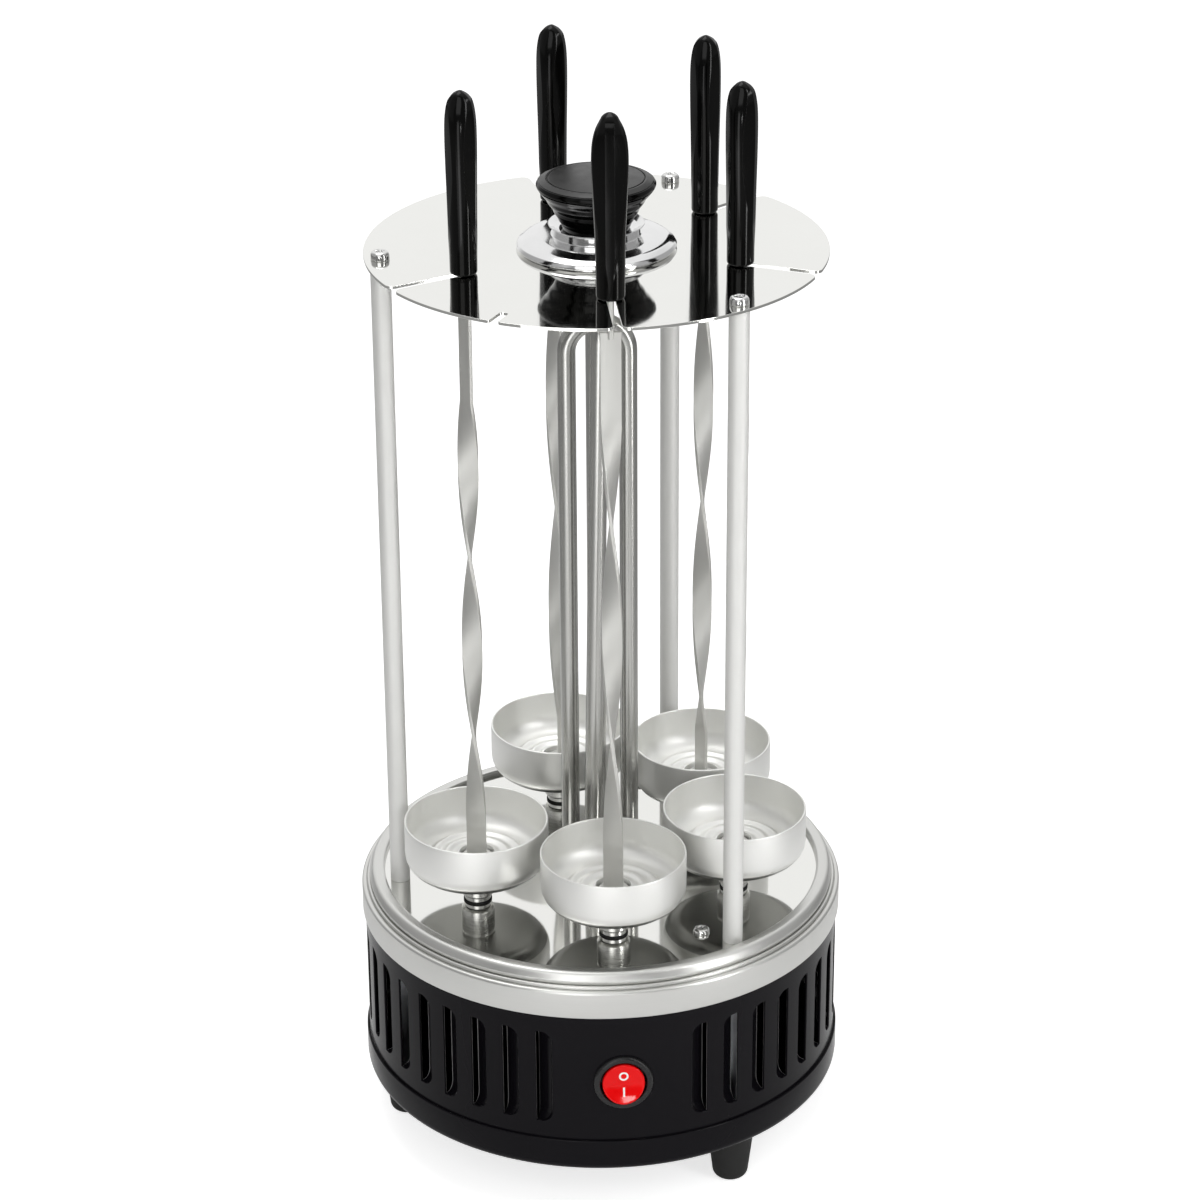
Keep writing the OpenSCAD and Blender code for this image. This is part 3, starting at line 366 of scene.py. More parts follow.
# Sets a piece out on points, each turned a step further than the last
set_out, given, result = node_tree("set_out", [
    ("Piece", "Object"), ("First Turn", "Float"), ("Turn Step", "Float"), ("Finish", "Material")])
pattern_piece = add(set_out, "GeometryNodeObjectInfo", {"Object": given["Piece"]})
turn = add(set_out, "ShaderNodeMath", {
    0: add(set_out, "GeometryNodeInputIndex").outputs[0], 1: given["Turn Step"], 2: given["First Turn"]},
    operation="MULTIPLY_ADD")
copies = add(set_out, "GeometryNodeInstanceOnPoints", {
    "Points": given["Geometry"], "Instance": pattern_piece.outputs["Geometry"],
    "Rotation": add(set_out, "ShaderNodeCombineXYZ", {"Z": turn.outputs[0]}).outputs[0]})
solid = add(set_out, "GeometryNodeRealizeInstances", {"Geometry": copies.outputs[0]})
end_tree(set_out, solid, given, result)


def repeated(name, piece, places, material, first_turn=0.0, turn_step=0.0):
    """Sets one piece out on several places, as one mesh; the pattern piece itself is then removed."""
    group = grown(name, set_out, spots_mesh(places), {
        "Piece": piece, "First Turn": math.radians(first_turn), "Turn Step": math.radians(turn_step),
        "Finish": material})
    bpy.data.objects.remove(piece)
    return group


# Matt rubber with a fine moulded grain and a little dust
rubber, tree, shader = finish("black_rubber", (0.016, 0.016, 0.016), 0.62, Specular_IOR_Level=0.3)
dust = spots_of(tree, 90)
wired(shader, blended(tree, dust, (0.011, 0.011, 0.011), (0.022, 0.022, 0.021)),
      spread(tree, dust, 0.55, 0.72), relief(tree, spots_of(tree, 1500, 2), 0.05, 0.2))

column_ring = 84.3
column_angles = [-56, 64, 184]
column_places = [on_ring(column_ring, angle) for angle in column_angles]
foot_top_r, foot_low_r, foot_bore_r, foot_shoulder = 9.5, 7.0, 2.4, 3.0
foot_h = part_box("feet")[1].z / mm
foot = turned("foot", eased([
    (0, foot_h, 0), (0, foot_h / 2, 0), (foot_bore_r, foot_h / 2, 0.3), (foot_bore_r, 0, 0.3),
    (foot_low_r, 0, 3.6), (foot_top_r, foot_h - foot_shoulder, 2.5), (foot_top_r, foot_h, 0.4)],
    steps=8), steps=64)
feet = repeated("feet_dressed", foot, column_places, rubber)
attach(feet, "root")
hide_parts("feet")

# Drum
# A rolled steel sheet, black enamelled, with a row of louvres pressed inwards on each side of the switch.
# Each louvre is cut along its far edge, so the openings look away from the front. Its top turns inwards.
drum_low, drum_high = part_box("base_shell")
drum_r, drum_foot, drum_top = drum_high.x / mm, drum_low.z / mm, drum_high.z / mm
drum_flange = 8.0
louvre_w, louvre_h, louvre_depth, louvre_corner = 7.0, 42.0, 4.6, 5.0
louvre_foot = pan_lip + 7.5
louvre_first, louvre_step, louvres_per_side = 18.5, 8.3, 18
crease, shear_gap, end_ease = 0.3, 0.1, 0.7
step_share, step_w = 0.3, 0.14
top_round, top_drop, top_in = 1.2, 0.35, 0.5
corner_steps, straight_steps, panel_steps = 10, 6, 24


def on_drum(around, height, depth=0.0):
    """Point of the drum's face; around is an arc length from its foremost line, in millimetres."""
    return on_ring(drum_r - depth, -90 + math.degrees(around / drum_r), height) * mm


def strip(work, rows, closed=False):
    """Quads between rows of points, each listed from the same side, or between closed rings of points.
    It gives the corners that it makes, row by row."""
    grid = [[work.verts.new(point) for point in row] for row in rows]
    for lower, upper in zip(grid, grid[1:]):
        for k in range(len(lower) if closed else len(lower) - 1):
            j = (k + 1) % len(lower)
            work.faces.new([lower[k], lower[j], upper[j], upper[k]])
    return grid


def drum_rows(columns):
    """Plain wall at these arc lengths: rows below the louvres, and rows above, up to the turned-in top."""
    below = [(drum_foot, 0), (pan_lip, 0), (louvre_foot, 0)]
    above = [(louvre_foot + louvre_h, 0), (drum_top - top_round, 0), (drum_top - top_drop, top_in),
             (drum_top, top_round), (drum_top, drum_flange)]
    return [[[on_drum(s, z, depth) for s in columns] for z, depth in rows] for rows in (below, above)]


def louvre_levels():
    """Heights over a louvre's middle, with the turn of its round near corners there, 0 to 90 degrees."""
    turns = [math.pi / 2 * k / corner_steps for k in range(corner_steps + 1)]
    straight = louvre_h / 2 - louvre_corner
    return ([(-straight - louvre_corner * math.sin(a), a) for a in reversed(turns)]
            + [(-straight + 2 * straight * k / straight_steps, 0.0) for k in range(1, straight_steps)]
            + [(straight + louvre_corner * math.sin(a), a) for a in turns])


def soft_step(t):
    """Soft step from 0 to 1."""
    s = min(max(t, 0), 1)
    return s * s * (3 - 2 * s)


def pressed(t):
    """Depth of a flap across its width, 0 to 1: a rounded step at the near edge, then a slope."""
    return step_share * soft_step(t / step_w) + (1 - step_share) * t


def louvre_panel(side):
    """One pitch of the drum's wall with a louvre pressed into it, cut on its far side."""
    pitch = drum_r * math.radians(louvre_step)
    first, cut, last = -pitch / 2, louvre_w / 2, pitch / 2
    # Shares of the flap's width, closest over the step
    shares = [0, 0.015, 0.03, 0.05, 0.07, 0.09, 0.11, 0.125, 0.14, 0.17, 0.3, 0.5, 0.7, 0.85, 1]
    work = bmesh.new()
    near_rows, flap_rows, far_rows = [], [], []
    for height, turn_a in louvre_levels():
        z = louvre_foot + louvre_h / 2 + height
        near = cut - louvre_w + louvre_corner * (1 - math.cos(turn_a))
        wall = [first + (near - crease - first) * k / 4 for k in range(5)] + [near]
        near_rows.append([on_drum(side * s, z) for s in wall])
        sunk = max(math.cos(turn_a), 0) ** end_ease
        flap_rows.append([on_drum(side * (near + (cut - shear_gap * sunk - near) * t), z,
                                  louvre_depth * sunk * pressed(t)) for t in shares])
        far_rows.append([on_drum(side * (cut + (last - cut) * k / 3), z) for k in range(4)])
    for rows in (near_rows, flap_rows, far_rows):
        strip(work, rows)
    joints = [(near_rows[0] + far_rows[0], -1), (near_rows[-1] + far_rows[-1], 0)]
    spans = len(joints[0][0]) - 1
    columns = [side * (first + (last - first) * k / spans) for k in range(spans + 1)]
    for rows, (joint, at_end) in zip(drum_rows(columns), joints):
        rows[at_end] = joint
        strip(work, rows)
    return as_piece("louvre_panel", work)


def plain_panel(name, half_angle, hole_r, hole_z):
    """Plain part of the wall round a hole for the switch or the cord inlet."""
    reach = drum_r * math.radians(half_angle)
    across = [-reach + 2 * reach * k / panel_steps for k in range(panel_steps + 1)]
    heights = [louvre_foot + louvre_h / 2 + height for height, turn_a in louvre_levels()]
    frame_line = ([(s, heights[0]) for s in across] + [(reach, z) for z in heights[1:]]
                  + [(s, heights[-1]) for s in reversed(across[:-1])]
                  + [(-reach, z) for z in reversed(heights[:-1])])
    work = bmesh.new()
    rings = []
    for share in (0, 0.02, 0.06, 0.15, 0.3, 0.5, 0.75, 1):
        ring = []
        for s, z in frame_line:
            away = Vector((s, z - hole_z))
            spot = away.normalized() * hole_r * (1 - share) + away * share
            ring.append(on_drum(spot.x, hole_z + spot.y))
        rings.append(ring)
    strip(work, rings)
    for rows in drum_rows(across):
        strip(work, rows)
    return as_piece(name, work)


front_half = louvre_first - louvre_step / 2
rear_half = 180 - louvre_first - louvre_step * (louvres_per_side - 0.5)
switch_hole, inlet_hole = 10.1, 5.3
seam_gap, face_gap = 0.02, 0.01
switch_z = sum(corner.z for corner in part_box("switch_housing")) / 2 / mm
inlet_z = sum(corner.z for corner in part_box("cord_gland")) / 2 / mm
drum_parts = [plain_panel("front_panel", front_half, switch_hole, switch_z)]
rear_panel = plain_panel("rear_panel", rear_half, inlet_hole, inlet_z)
rear_panel.data.transform(Matrix.Rotation(math.pi, 4, "Z"))
drum_parts.append(rear_panel)
for side, name in ((1, "louvres_right"), (-1, "louvres_left")):
    drum_parts.append(repeated(name, louvre_panel(side), [(0, 0, 0)] * louvres_per_side, enamel,
                               side * louvre_first, side * louvre_step))
work = bmesh.new()
for part in drum_parts:
    work.from_mesh(part.data)
    bpy.data.objects.remove(part)
bmesh.ops.remove_doubles(work, verts=work.verts, dist=seam_gap * mm)
drum = as_piece("drum_dressed", work, sharp=22)
drum.data.materials.append(enamel)
wall = drum.modifiers.new("wall", "SOLIDIFY")
wall.thickness = sheet * mm
wall.offset = -1
as_plain(drum)
# The plain wall is shaded as a true cylinder
normals = [corner.vector.copy() for corner in drum.data.corner_normals]
for face in drum.data.polygons:
    spots = [drum.data.vertices[v].co for v in face.vertices]
    if all(abs(spot.xy.length - drum_r * mm) < face_gap * mm for spot in spots):
        for loop, spot in zip(face.loop_indices, spots):
            normals[loop] = Vector((spot.x, spot.y, 0)).normalized()
drum.data.normals_split_custom_set(normals)
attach(drum, "root")
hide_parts("base_shell")


# Rim ring
# Spun satin steel: a plain band over the drum's edge, a narrow bead, then a broad roll down to the deck.
# It is pressed over the drum and holds the edge of the deck.
def turning_marks(tree, per_metre):
    """Fine rings left by spinning or turning, as a pattern along v of the turned UV map."""
    place = add(tree, "ShaderNodeUVMap", uv_map="turned").outputs[0]
    mapped = add(tree, "ShaderNodeMapping", {"Vector": place, "Scale": (2.0, per_metre / 10, 1)})
    return add(tree, "ShaderNodeTexNoise",
               {"Vector": mapped.outputs[0], "Scale": 1.0, "Detail": 2.0, "Roughness": 0.7}).outputs[0]


satin_steel, tree, shader = finish("satin_steel", (0.65, 0.65, 0.63), 0.34, 1.0)
marks = turning_marks(tree, 6000)
wired(shader, blended(tree, marks, (0.63, 0.63, 0.61), (0.68, 0.68, 0.66)),
      spread(tree, spots_of(tree, 60), 0.31, 0.38), relief(tree, marks, 0.01, 0.05))

rim_low, rim_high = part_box("rim_ring")
rim_r, rim_foot, rim_top = rim_high.x / mm, rim_low.z / mm, rim_high.z / mm
deck_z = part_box("deck_plate")[1].z / mm
band_top = rim_foot + 12
lip_inner = rim_r - 9.7
groove_z, bead_top, step_z, roll_ease = band_top - 0.5, band_top + 1.35, band_top + 0.5, 2.5
rim = turned("rim_dressed", eased([
    (rim_r - sheet, rim_foot, 0.3), (rim_r, rim_foot, 0.4), (rim_r, band_top, 1.3),
    (rim_r - 1.9, band_top, 0.15), (rim_r - 1.95, groove_z, 0.12), (rim_r - 2.2, groove_z, 0.1),
    (rim_r - 2.25, bead_top, 0.6), (rim_r - 3.7, bead_top, 0.6), (rim_r - 3.75, step_z, 0.12),
    (rim_r - 4.0, step_z, 0.12), (rim_r - 3.2, band_top + 3.0, 1.6), (rim_r - 4.8, rim_top, roll_ease),
    (lip_inner, rim_top, 1.3), (lip_inner, deck_z, 0.1), (lip_inner + sheet, deck_z, 0.1),
    (lip_inner + sheet, rim_top - sheet, 0.4), (rim_r - 5.6, rim_top - sheet, 1.0),
    (rim_r - 5.0, band_top - sheet, 0.3), (rim_r - sheet, band_top - sheet, 0.3)], steps=8), steps=256)
rim.data.materials.append(satin_steel)
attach(rim, "root")
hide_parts("rim_ring")


# Deck
# A disc of mirror polished steel inside the rim, which carries columns, bushes and heater flange.
# The polishing wheel leaves faint rings and a slight haze; the frame's own disc is used as it is.
def ring_marks(tree, per_metre):
    """Rings round the drum's axis, left by a polishing wheel, from Object coordinates."""
    place = add(tree, "ShaderNodeTexCoord").outputs["Object"]
    flat = add(tree, "ShaderNodeVectorMath", {0: place, 1: (1, 1, 0)}, operation="MULTIPLY")
    far = add(tree, "ShaderNodeVectorMath", {0: flat.outputs[0]}, operation="LENGTH")
    noise = add(tree, "ShaderNodeTexNoise", {"W": far.outputs["Value"], "Scale": per_metre, "Detail": 3.0},
                noise_dimensions="1D")
    return noise.outputs[0]


mirror_steel, tree, shader = finish("mirror_steel", (0.83, 0.83, 0.8), 0.05, 1.0)
haze = spots_of(tree, 22, 4)
wired(shader, blended(tree, haze, (0.81, 0.81, 0.78), (0.85, 0.85, 0.825)),
      spread(tree, haze, 0.035, 0.075), relief(tree, ring_marks(tree, 1800), 0.004, 0.05))


def dress(node, material):
    """Gives a frame node's own object a finish."""
    node_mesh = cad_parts[node].data
    node_mesh.materials.clear()
    node_mesh.materials.append(material)


dress("deck_plate", mirror_steel)

# Deck screws
# Bright pan heads with a cross recess: three hold the deck to the gear plate's spacers, and three small
# ones hold the heater flange.
bright_screws, tree, shader = finish("bright_screws", (0.72, 0.72, 0.71), 0.16, 1.0)
wear = spots_of(tree, 700, 3)
wired(shader, blended(tree, wear, (0.66, 0.66, 0.65), (0.78, 0.78, 0.77)),
      spread(tree, wear, 0.1, 0.24), relief(tree, spots_of(tree, 2500, 2), 0.01, 0.1))


def screw_head(name, head_r, head_h, shank):
    """Pan head with a tapered cross recess, seated on z = 0, and a plain shank below."""
    shank_r, crown_r, crown_h = head_r * 0.55, head_r * 0.92, head_h * 0.86
    recess_l, recess_w, recess_z, recess_taper = head_r * 1.15, head_r * 0.27, head_h * 0.92, 0.45
    head = turned(name, eased([
        (0, head_h, 0), (crown_r, crown_h, head_r * 0.42), (head_r, 0.0, head_r * 0.1),
        (shank_r, 0.0, 0.05), (shank_r, -shank, 0.1), (0, -shank, 0)]), steps=48)
    work = bmesh.new()
    for turn_a in (0, 90):
        blade = bmesh.ops.create_cube(work, size=1.0)["verts"]
        bmesh.ops.scale(work, verts=blade, vec=Vector((recess_l, recess_w, head_h)) * mm)
        for vert in blade:
            if vert.co.z < 0:
                vert.co.x *= recess_taper
        bmesh.ops.translate(work, verts=blade, vec=Vector((0, 0, recess_z)) * mm)
        bmesh.ops.rotate(work, verts=blade, matrix=Matrix.Rotation(math.radians(turn_a), 3, "Z"))
    cutter = as_piece("recess", work)
    cut = head.modifiers.new("recess", "BOOLEAN")
    cut.operation = "DIFFERENCE"
    cut.solver = "EXACT"
    cut.use_self = True
    cut.object = cutter
    as_plain(head)
    bpy.data.objects.remove(cutter)
    return head


spacer_ring, spacer_angles = 72, (-60.56, 70, 180)
flange_ring, flange_angles = 21, (45, 165, 285)
flange_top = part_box("heater_flange")[1].z / mm
deck_screw = screw_head("deck_screw", head_r=3.4, head_h=2.4, shank=5)
deck_screws = repeated("deck_screws_dressed", deck_screw,
                       [on_ring(spacer_ring, angle, deck_z) for angle in spacer_angles],
                       bright_screws, first_turn=20, turn_step=37)
flange_screw = screw_head("flange_screw", head_r=2.3, head_h=1.6, shank=4)
flange_screws = repeated("flange_screws_dressed", flange_screw,
                         [on_ring(flange_ring, angle, flange_top) for angle in flange_angles],
                         bright_screws, first_turn=65, turn_step=29)
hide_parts("deck_screws")
for piece in (deck_screws, flange_screws):
    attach(piece, "root")

# Heater
# Two hairpins of drawn steel tube cross over each other and stand in a round flange on the deck.
# The tubes are grey, drawn lengthwise, and a little darker and browner where they glow.
tube_along, given, result = node_tree("tube_along", [
    ("Radius", "Float"), ("Sides", "Int"), ("Finish", "Material")])
line = add(tube_along, "GeometryNodeMeshToCurve", {"Mesh": given["Geometry"]})
ring = add(tube_along, "GeometryNodeCurvePrimitiveCircle",
           {"Resolution": given["Sides"], "Radius": given["Radius"]})
skin = add(tube_along, "GeometryNodeCurveToMesh",
           {"Curve": line.outputs[0], "Profile Curve": ring.outputs[0], "Fill Caps": True})
smooth = add(tube_along, "GeometryNodeSetShadeSmooth", {"Geometry": skin.outputs[0]})
end_tree(tube_along, smooth, given, result)

heater_steel, tree, shader = finish("heater_steel", (0.5, 0.5, 0.48), 0.25, 1.0)
drawn = spots_of(tree, 1.0, 3, (500, 500, 12))
warm = spots_of(tree, 16, 3)
grey = blended(tree, drawn, (0.47, 0.47, 0.455), (0.55, 0.55, 0.53))
browned = blended(tree, spread(tree, warm, 0, 0.3), grey, (0.42, 0.41, 0.385))
wired(shader, browned, spread(tree, warm, 0.22, 0.28), relief(tree, warm, 0.02, 0.05))

low_low, low_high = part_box("heater_loop_low")
high_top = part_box("heater_loop_high")[1].z / mm
tube_r = (low_high.y - low_low.y) / 2 / mm
bend_r = low_high.x / mm - tube_r
leg_foot = low_low.z / mm
lean, lean_from = -4.25, deck_z + 4
bend_steps, tube_sides = 32, 40


def hairpin(top, along, feet_first, feet_last):
    """Path of a hairpin under a top height: up one leg, over the bend and down the other."""
    centre_z = top - tube_r - bend_r
    bend = [Vector(along) * (-bend_r * math.cos(math.pi * k / bend_steps))
            + Vector((0, 0, centre_z + bend_r * math.sin(math.pi * k / bend_steps)))
            for k in range(bend_steps + 1)]
    points = [Vector(p) for p in feet_first] + bend + [Vector(p) for p in feet_last]
    mesh = bpy.data.meshes.new("hairpin")
    mesh.from_pydata([p * mm for p in points], [(k, k + 1) for k in range(len(points) - 1)], [])
    return mesh


for name, node, path in (
        ("heater_low_dressed", "heater_loop_low",
         hairpin(low_high.z / mm, (1, 0, 0), [(-bend_r, 0, leg_foot)], [(bend_r, 0, leg_foot)])),
        ("heater_high_dressed", "heater_loop_high",
         hairpin(high_top, (0, 1, 0), [(lean, -bend_r, leg_foot), (lean, -bend_r, lean_from)],
                 [(0, bend_r, leg_foot)]))):
    loop = grown(name, tube_along, path,
                 {"Radius": tube_r * mm, "Sides": tube_sides, "Finish": heater_steel})
    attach(loop, "root")
    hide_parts(node)

flange_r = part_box("heater_flange")[1].x / mm
flange = turned("heater_flange_dressed", eased([
    (0, deck_z, 0), (flange_r, deck_z, 0.1), (flange_r, flange_top, 0.7), (0, flange_top, 0)]), steps=128)
flange.data.materials.append(satin_steel)
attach(flange, "root")
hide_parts("heater_flange")

# Bushes and seals
# Turned bushes come up through the deck, plated like the spindles that run in them. A black rubber ring
# is stretched round the foot of each.
station_ring = 59.0
station_angles = [-154, -90, -26, 38, 102]
stations = [on_ring(station_ring, angle) for angle in station_angles]
seal_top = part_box("shaft_seals")[1].z / mm
bush_r, seal_wall = 5.4, 0.45
seal_r = bush_r + seal_wall
seal_ring = turned("seal", eased([
    (bush_r, deck_z, 0), (seal_r, deck_z, 0.1), (seal_r, seal_top, 0.4),
    (bush_r, seal_top, 0.1)]), steps=48)
seals = repeated("shaft_seals_dressed", seal_ring, stations, rubber)
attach(seals, "root")
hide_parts("shaft_seals")

# Spindles
# Turned and polished: a collar under each cup on a shaft that runs down through the bush to the gears.
# The rivet head that clamps the cup is the socket for the blade's tip.
polished, tree, shader = finish("polished_spindle", (0.76, 0.76, 0.74), 0.27, 1.0)
marks = turning_marks(tree, 9000)
wired(shader, blended(tree, marks, (0.73, 0.73, 0.71), (0.8, 0.8, 0.78)),
      spread(tree, marks, 0.23, 0.32), relief(tree, spots_of(tree, 200, 2), 0.01, 0.05))
dress("spindle_bushes", polished)

collar_r, collar_chamfer, collar_gap = 6.75, 0.9, 0.3
groove_r = collar_r - 0.35
shaft_r, journal_r, journal_h = 4.0, 3.0, 3.0
rivet_r, rivet_h, rivet_shank_r = 6.2, 4.9, 5.2
cup_low, cup_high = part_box("drip_cup_1")
cup_foot, cup_rim = cup_low.z / mm, cup_high.z / mm
cup_wall = 0.9
floor_z = cup_foot + cup_wall
rivet_top = floor_z + rivet_h
collar_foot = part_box("spindle_bushes")[1].z / mm + collar_gap
spindle_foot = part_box("spindle_1")[0].z / mm
shaft_foot = spindle_foot + journal_h
for i, station in enumerate(stations, 1):
    spindle = turned(f"spindle_{i}_dressed", eased([
        (0, spindle_foot, 0), (journal_r, spindle_foot, 0.3), (journal_r, shaft_foot, 0.1),
        (shaft_r, shaft_foot, 0.2), (shaft_r, collar_foot, 0.1),
        (collar_r - collar_chamfer, collar_foot, 0.2), (collar_r, collar_foot + collar_chamfer, 0.5),
        (collar_r, cup_foot - 1.4, 0.15), (groove_r, cup_foot - 1.2, 0.1), (groove_r, cup_foot - 0.7, 0.1),
        (collar_r, cup_foot - 0.5, 0.15), (collar_r, cup_foot, 0.15), (rivet_shank_r, cup_foot, 0),
        (rivet_shank_r, floor_z, 0), (rivet_r, floor_z, 0.1), (rivet_r, rivet_top, 0.7),
        (0, rivet_top, 0)]), station, 64)
    spindle.data.materials.append(polished)
    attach(spindle, f"station_{i}")
    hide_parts(f"spindle_{i}")

# Drip cups
# Spun aluminium cups with a satin etch and a round lower edge. The floor is raised in soft rings over a
# flat bottom, whose downward faces get a darker copy of the metal as painted shade. Each is clamped between
# its collar and the rivet head.
cup_metal, tree, shader = finish("cup_aluminium", (0.89, 0.89, 0.865), 0.46, 1.0)
marks = turning_marks(tree, 2500)
stain = spots_of(tree, 45, 4)
wired(shader, blended(tree, stain, (0.87, 0.87, 0.845), (0.91, 0.91, 0.89)),
      spread(tree, stain, 0.42, 0.5), relief(tree, marks, 0.02, 0.12))

# Darker copy of the cup metal for the downward faces: painted shade under the cup, mottled at random
cup_painted_shade, tree, shader = finish("cup_underside", (0.36, 0.36, 0.35), 0.34, 1.0)
shade_mottle = spots_of(tree, 60, 3)
wired(shader, blended(tree, shade_mottle, (0.32, 0.32, 0.31), (0.4, 0.4, 0.39)),
      spread(tree, shade_mottle, 0.3, 0.4), relief(tree, turning_marks(tree, 800), 0.01, 0.1))

cup_r = (cup_high.x - cup_low.x) / 2 / mm
cup_corner, bore_gap, painted_shade_facing = 8.0, 0.02, -0.6
cup_bore = rivet_shank_r + bore_gap
floor_edge, first_ring, well_r, well_slope = 21.3, 17.6, 6.35, 0.7
channel_lift, floor_rise, ring_pitch, ring_sink = 3.6, 2.4, 5.2, 0.9
floor_steps = 56


def floor_lift(radius):
    """Lift of the cup's floor: up from the channel along its wall, then rings, and a well for the rivet."""
    up = soft_step((floor_edge - radius) / (floor_edge - first_ring))
    wave = (1 - math.cos(math.tau * max(first_ring - radius, 0) / ring_pitch)) / 2
    return (channel_lift + floor_rise * up - ring_sink * wave) * soft_step((radius - well_r) / well_slope)


floor_radii = [floor_edge + (well_r - floor_edge) * k / floor_steps for k in range(floor_steps + 1)]
floor_above = [(radius, floor_z + floor_lift(radius), 0) for radius in floor_radii]
for i, station in enumerate(stations, 1):
    cup = turned(f"drip_cup_{i}_dressed", eased([
        (cup_bore, cup_foot, 0), (cup_r, cup_foot, cup_corner), (cup_r, cup_rim, 0.4),
        (cup_r - cup_wall, cup_rim, 0.4), (cup_r - cup_wall, floor_z + channel_lift, cup_corner - cup_wall),
        *floor_above, (cup_bore, floor_z, 0)]), station, 128)
    cup.data.materials.append(cup_metal)
    cup.data.materials.append(cup_painted_shade)
    # Faces that look downwards take the darker copy, as painted shade
    for face in cup.data.polygons:
        face.material_index = int(face.normal.z < painted_shade_facing)
    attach(cup, f"station_{i}")
    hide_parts(f"drip_cup_{i}")

# Columns
# Three aluminium rods, etched to a pale satin, screwed into the posts below the deck and to the top plate.
rod_metal, tree, shader = finish("rod_aluminium", (0.77, 0.77, 0.75), 0.6, 0.5)
drawn = spots_of(tree, 1.0, 3, (700, 700, 25))
wired(shader, blended(tree, drawn, (0.75, 0.75, 0.73), (0.79, 0.79, 0.77)),
      spread(tree, spots_of(tree, 80), 0.56, 0.64), relief(tree, spots_of(tree, 1800, 2), 0.01, 0.15))

column_r = 4.0
stud_r = 2.5
plate_low, plate_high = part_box("top_plate")
plate_z, plate_top = plate_low.z / mm, plate_high.z / mm
stud_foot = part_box("columns")[0].z / mm
rod = turned("rod", eased([
    (0, stud_foot, 0), (stud_r, stud_foot, 0.3), (stud_r, deck_z, 0.1), (column_r, deck_z, 0.3),
    (column_r, plate_z, 0.3), (0, plate_z, 0)]), steps=64)
columns = repeated("columns_dressed", rod, column_places, rod_metal)
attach(columns, "root")
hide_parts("columns")

# Top plate
# A disc of the same mirror steel with a slot for each skewer's neck, open at the edge, and one short notch.
# It is blanked in one stroke, so its edges are a little rounded.
plate_r = plate_high.x / mm
slot_half = 1.7
mouth_r = 3.0
notch_angle, notch_from, notch_to = -120, -2.0, 2.6
notch_depth, notch_half = 10.0, 1.7


def bearing(point):
    """Angle of a point round the drum's axis, in degrees."""
    return math.degrees(math.atan2(point.y, point.x))


def slot_outline():
    """Edge of a skewer slot along +X, from the plate's rim inwards and out again, in millimetres."""
    reach = math.sqrt((plate_r - mouth_r) ** 2 - (slot_half + mouth_r) ** 2)
    rim_turn = bearing(Vector((reach, slot_half + mouth_r)))
    mouth = [Vector((reach, -slot_half - mouth_r)) + mouth_r * Vector((math.cos(a), math.sin(a)))
             for a in (math.radians(-rim_turn + (90 + rim_turn) * k / 8) for k in range(9))]
    inner = [Vector((station_ring, 0)) + slot_half * Vector((math.cos(a), math.sin(a)))
             for a in (math.radians(270 - 180 * k / 16) for k in range(17))]
    return mouth + inner + [Vector((p.x, -p.y)) for p in reversed(mouth)]


def notch_outline():
    """Edge of the short notch along +X, in the same sense."""
    inner = plate_r - notch_depth
    corner = math.sqrt(plate_r ** 2 - notch_half ** 2)
    leave, meet = on_ring(plate_r, notch_from), on_ring(plate_r, notch_to)
    return eased([(leave.x, leave.y, 0), (corner, -notch_half, 0.4), (inner, -notch_half, 1.3),
                  (inner, notch_half, 1.3), (corner, notch_half, 1.3), (meet.x, meet.y, 0)], closed=False)


cuts = sorted([(angle, slot_outline()) for angle in station_angles] + [(notch_angle, notch_outline())])
edge = []
for k, (angle, outline) in enumerate(cuts):
    edge += [on_ring(p.length, angle + bearing(p)) for p in outline]
    next_angle, next_outline = cuts[(k + 1) % len(cuts)]
    leave = angle + bearing(outline[-1])
    meet = next_angle + bearing(next_outline[0])
    meet += 360 if meet < leave else 0
    steps = max(2, round(meet - leave))
    edge += [on_ring(plate_r, leave + (meet - leave) * j / steps) for j in range(1, steps)]
work = bmesh.new()
sheet_face = work.faces.new([work.verts.new(Vector((p.x, p.y, plate_z)) * mm) for p in edge])
lifted = bmesh.ops.extrude_face_region(work, geom=[sheet_face])["geom"]
bmesh.ops.translate(work, verts=[v for v in lifted if isinstance(v, bmesh.types.BMVert)],
                    vec=(0, 0, (plate_top - plate_z) * mm))
top_plate = as_piece("top_plate_dressed", work)
top_plate.data.materials.append(mirror_steel)
edge_round = top_plate.modifiers.new("edge", "BEVEL")
edge_round.width = 0.15 * mm
edge_round.segments = 3
edge_round.limit_method = "ANGLE"
edge_round.angle_limit = math.radians(50)
edge_round.harden_normals = True
as_plain(top_plate)
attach(top_plate, "root")
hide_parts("top_plate")

# Column screws
# Bright, high pan heads with a cross recess that hold the plate to the columns.
column_screw = screw_head("column_screw", head_r=3.8, head_h=3.6, shank=6)
column_screws = repeated("column_screws_dressed", column_screw,
                         [on_ring(column_ring, angle, plate_top) for angle in column_angles],
                         bright_screws, first_turn=12, turn_step=50)
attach(column_screws, "root")
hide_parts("column_screws")

# Knob dish
# A chromed pressing under the knob: a low dome with a rolled edge, a neck and a flared ring round the
# knob's foot. The knob's screw clamps it to the plate.
chrome, tree, shader = finish("chrome", (0.78, 0.78, 0.77), 0.1, 1.0)
haze = spots_of(tree, 120, 3)
wired(shader, blended(tree, haze, (0.75, 0.75, 0.75), (0.82, 0.82, 0.82)),
      spread(tree, haze, 0.09, 0.12), relief(tree, turning_marks(tree, 1500), 0.002, 0.03))

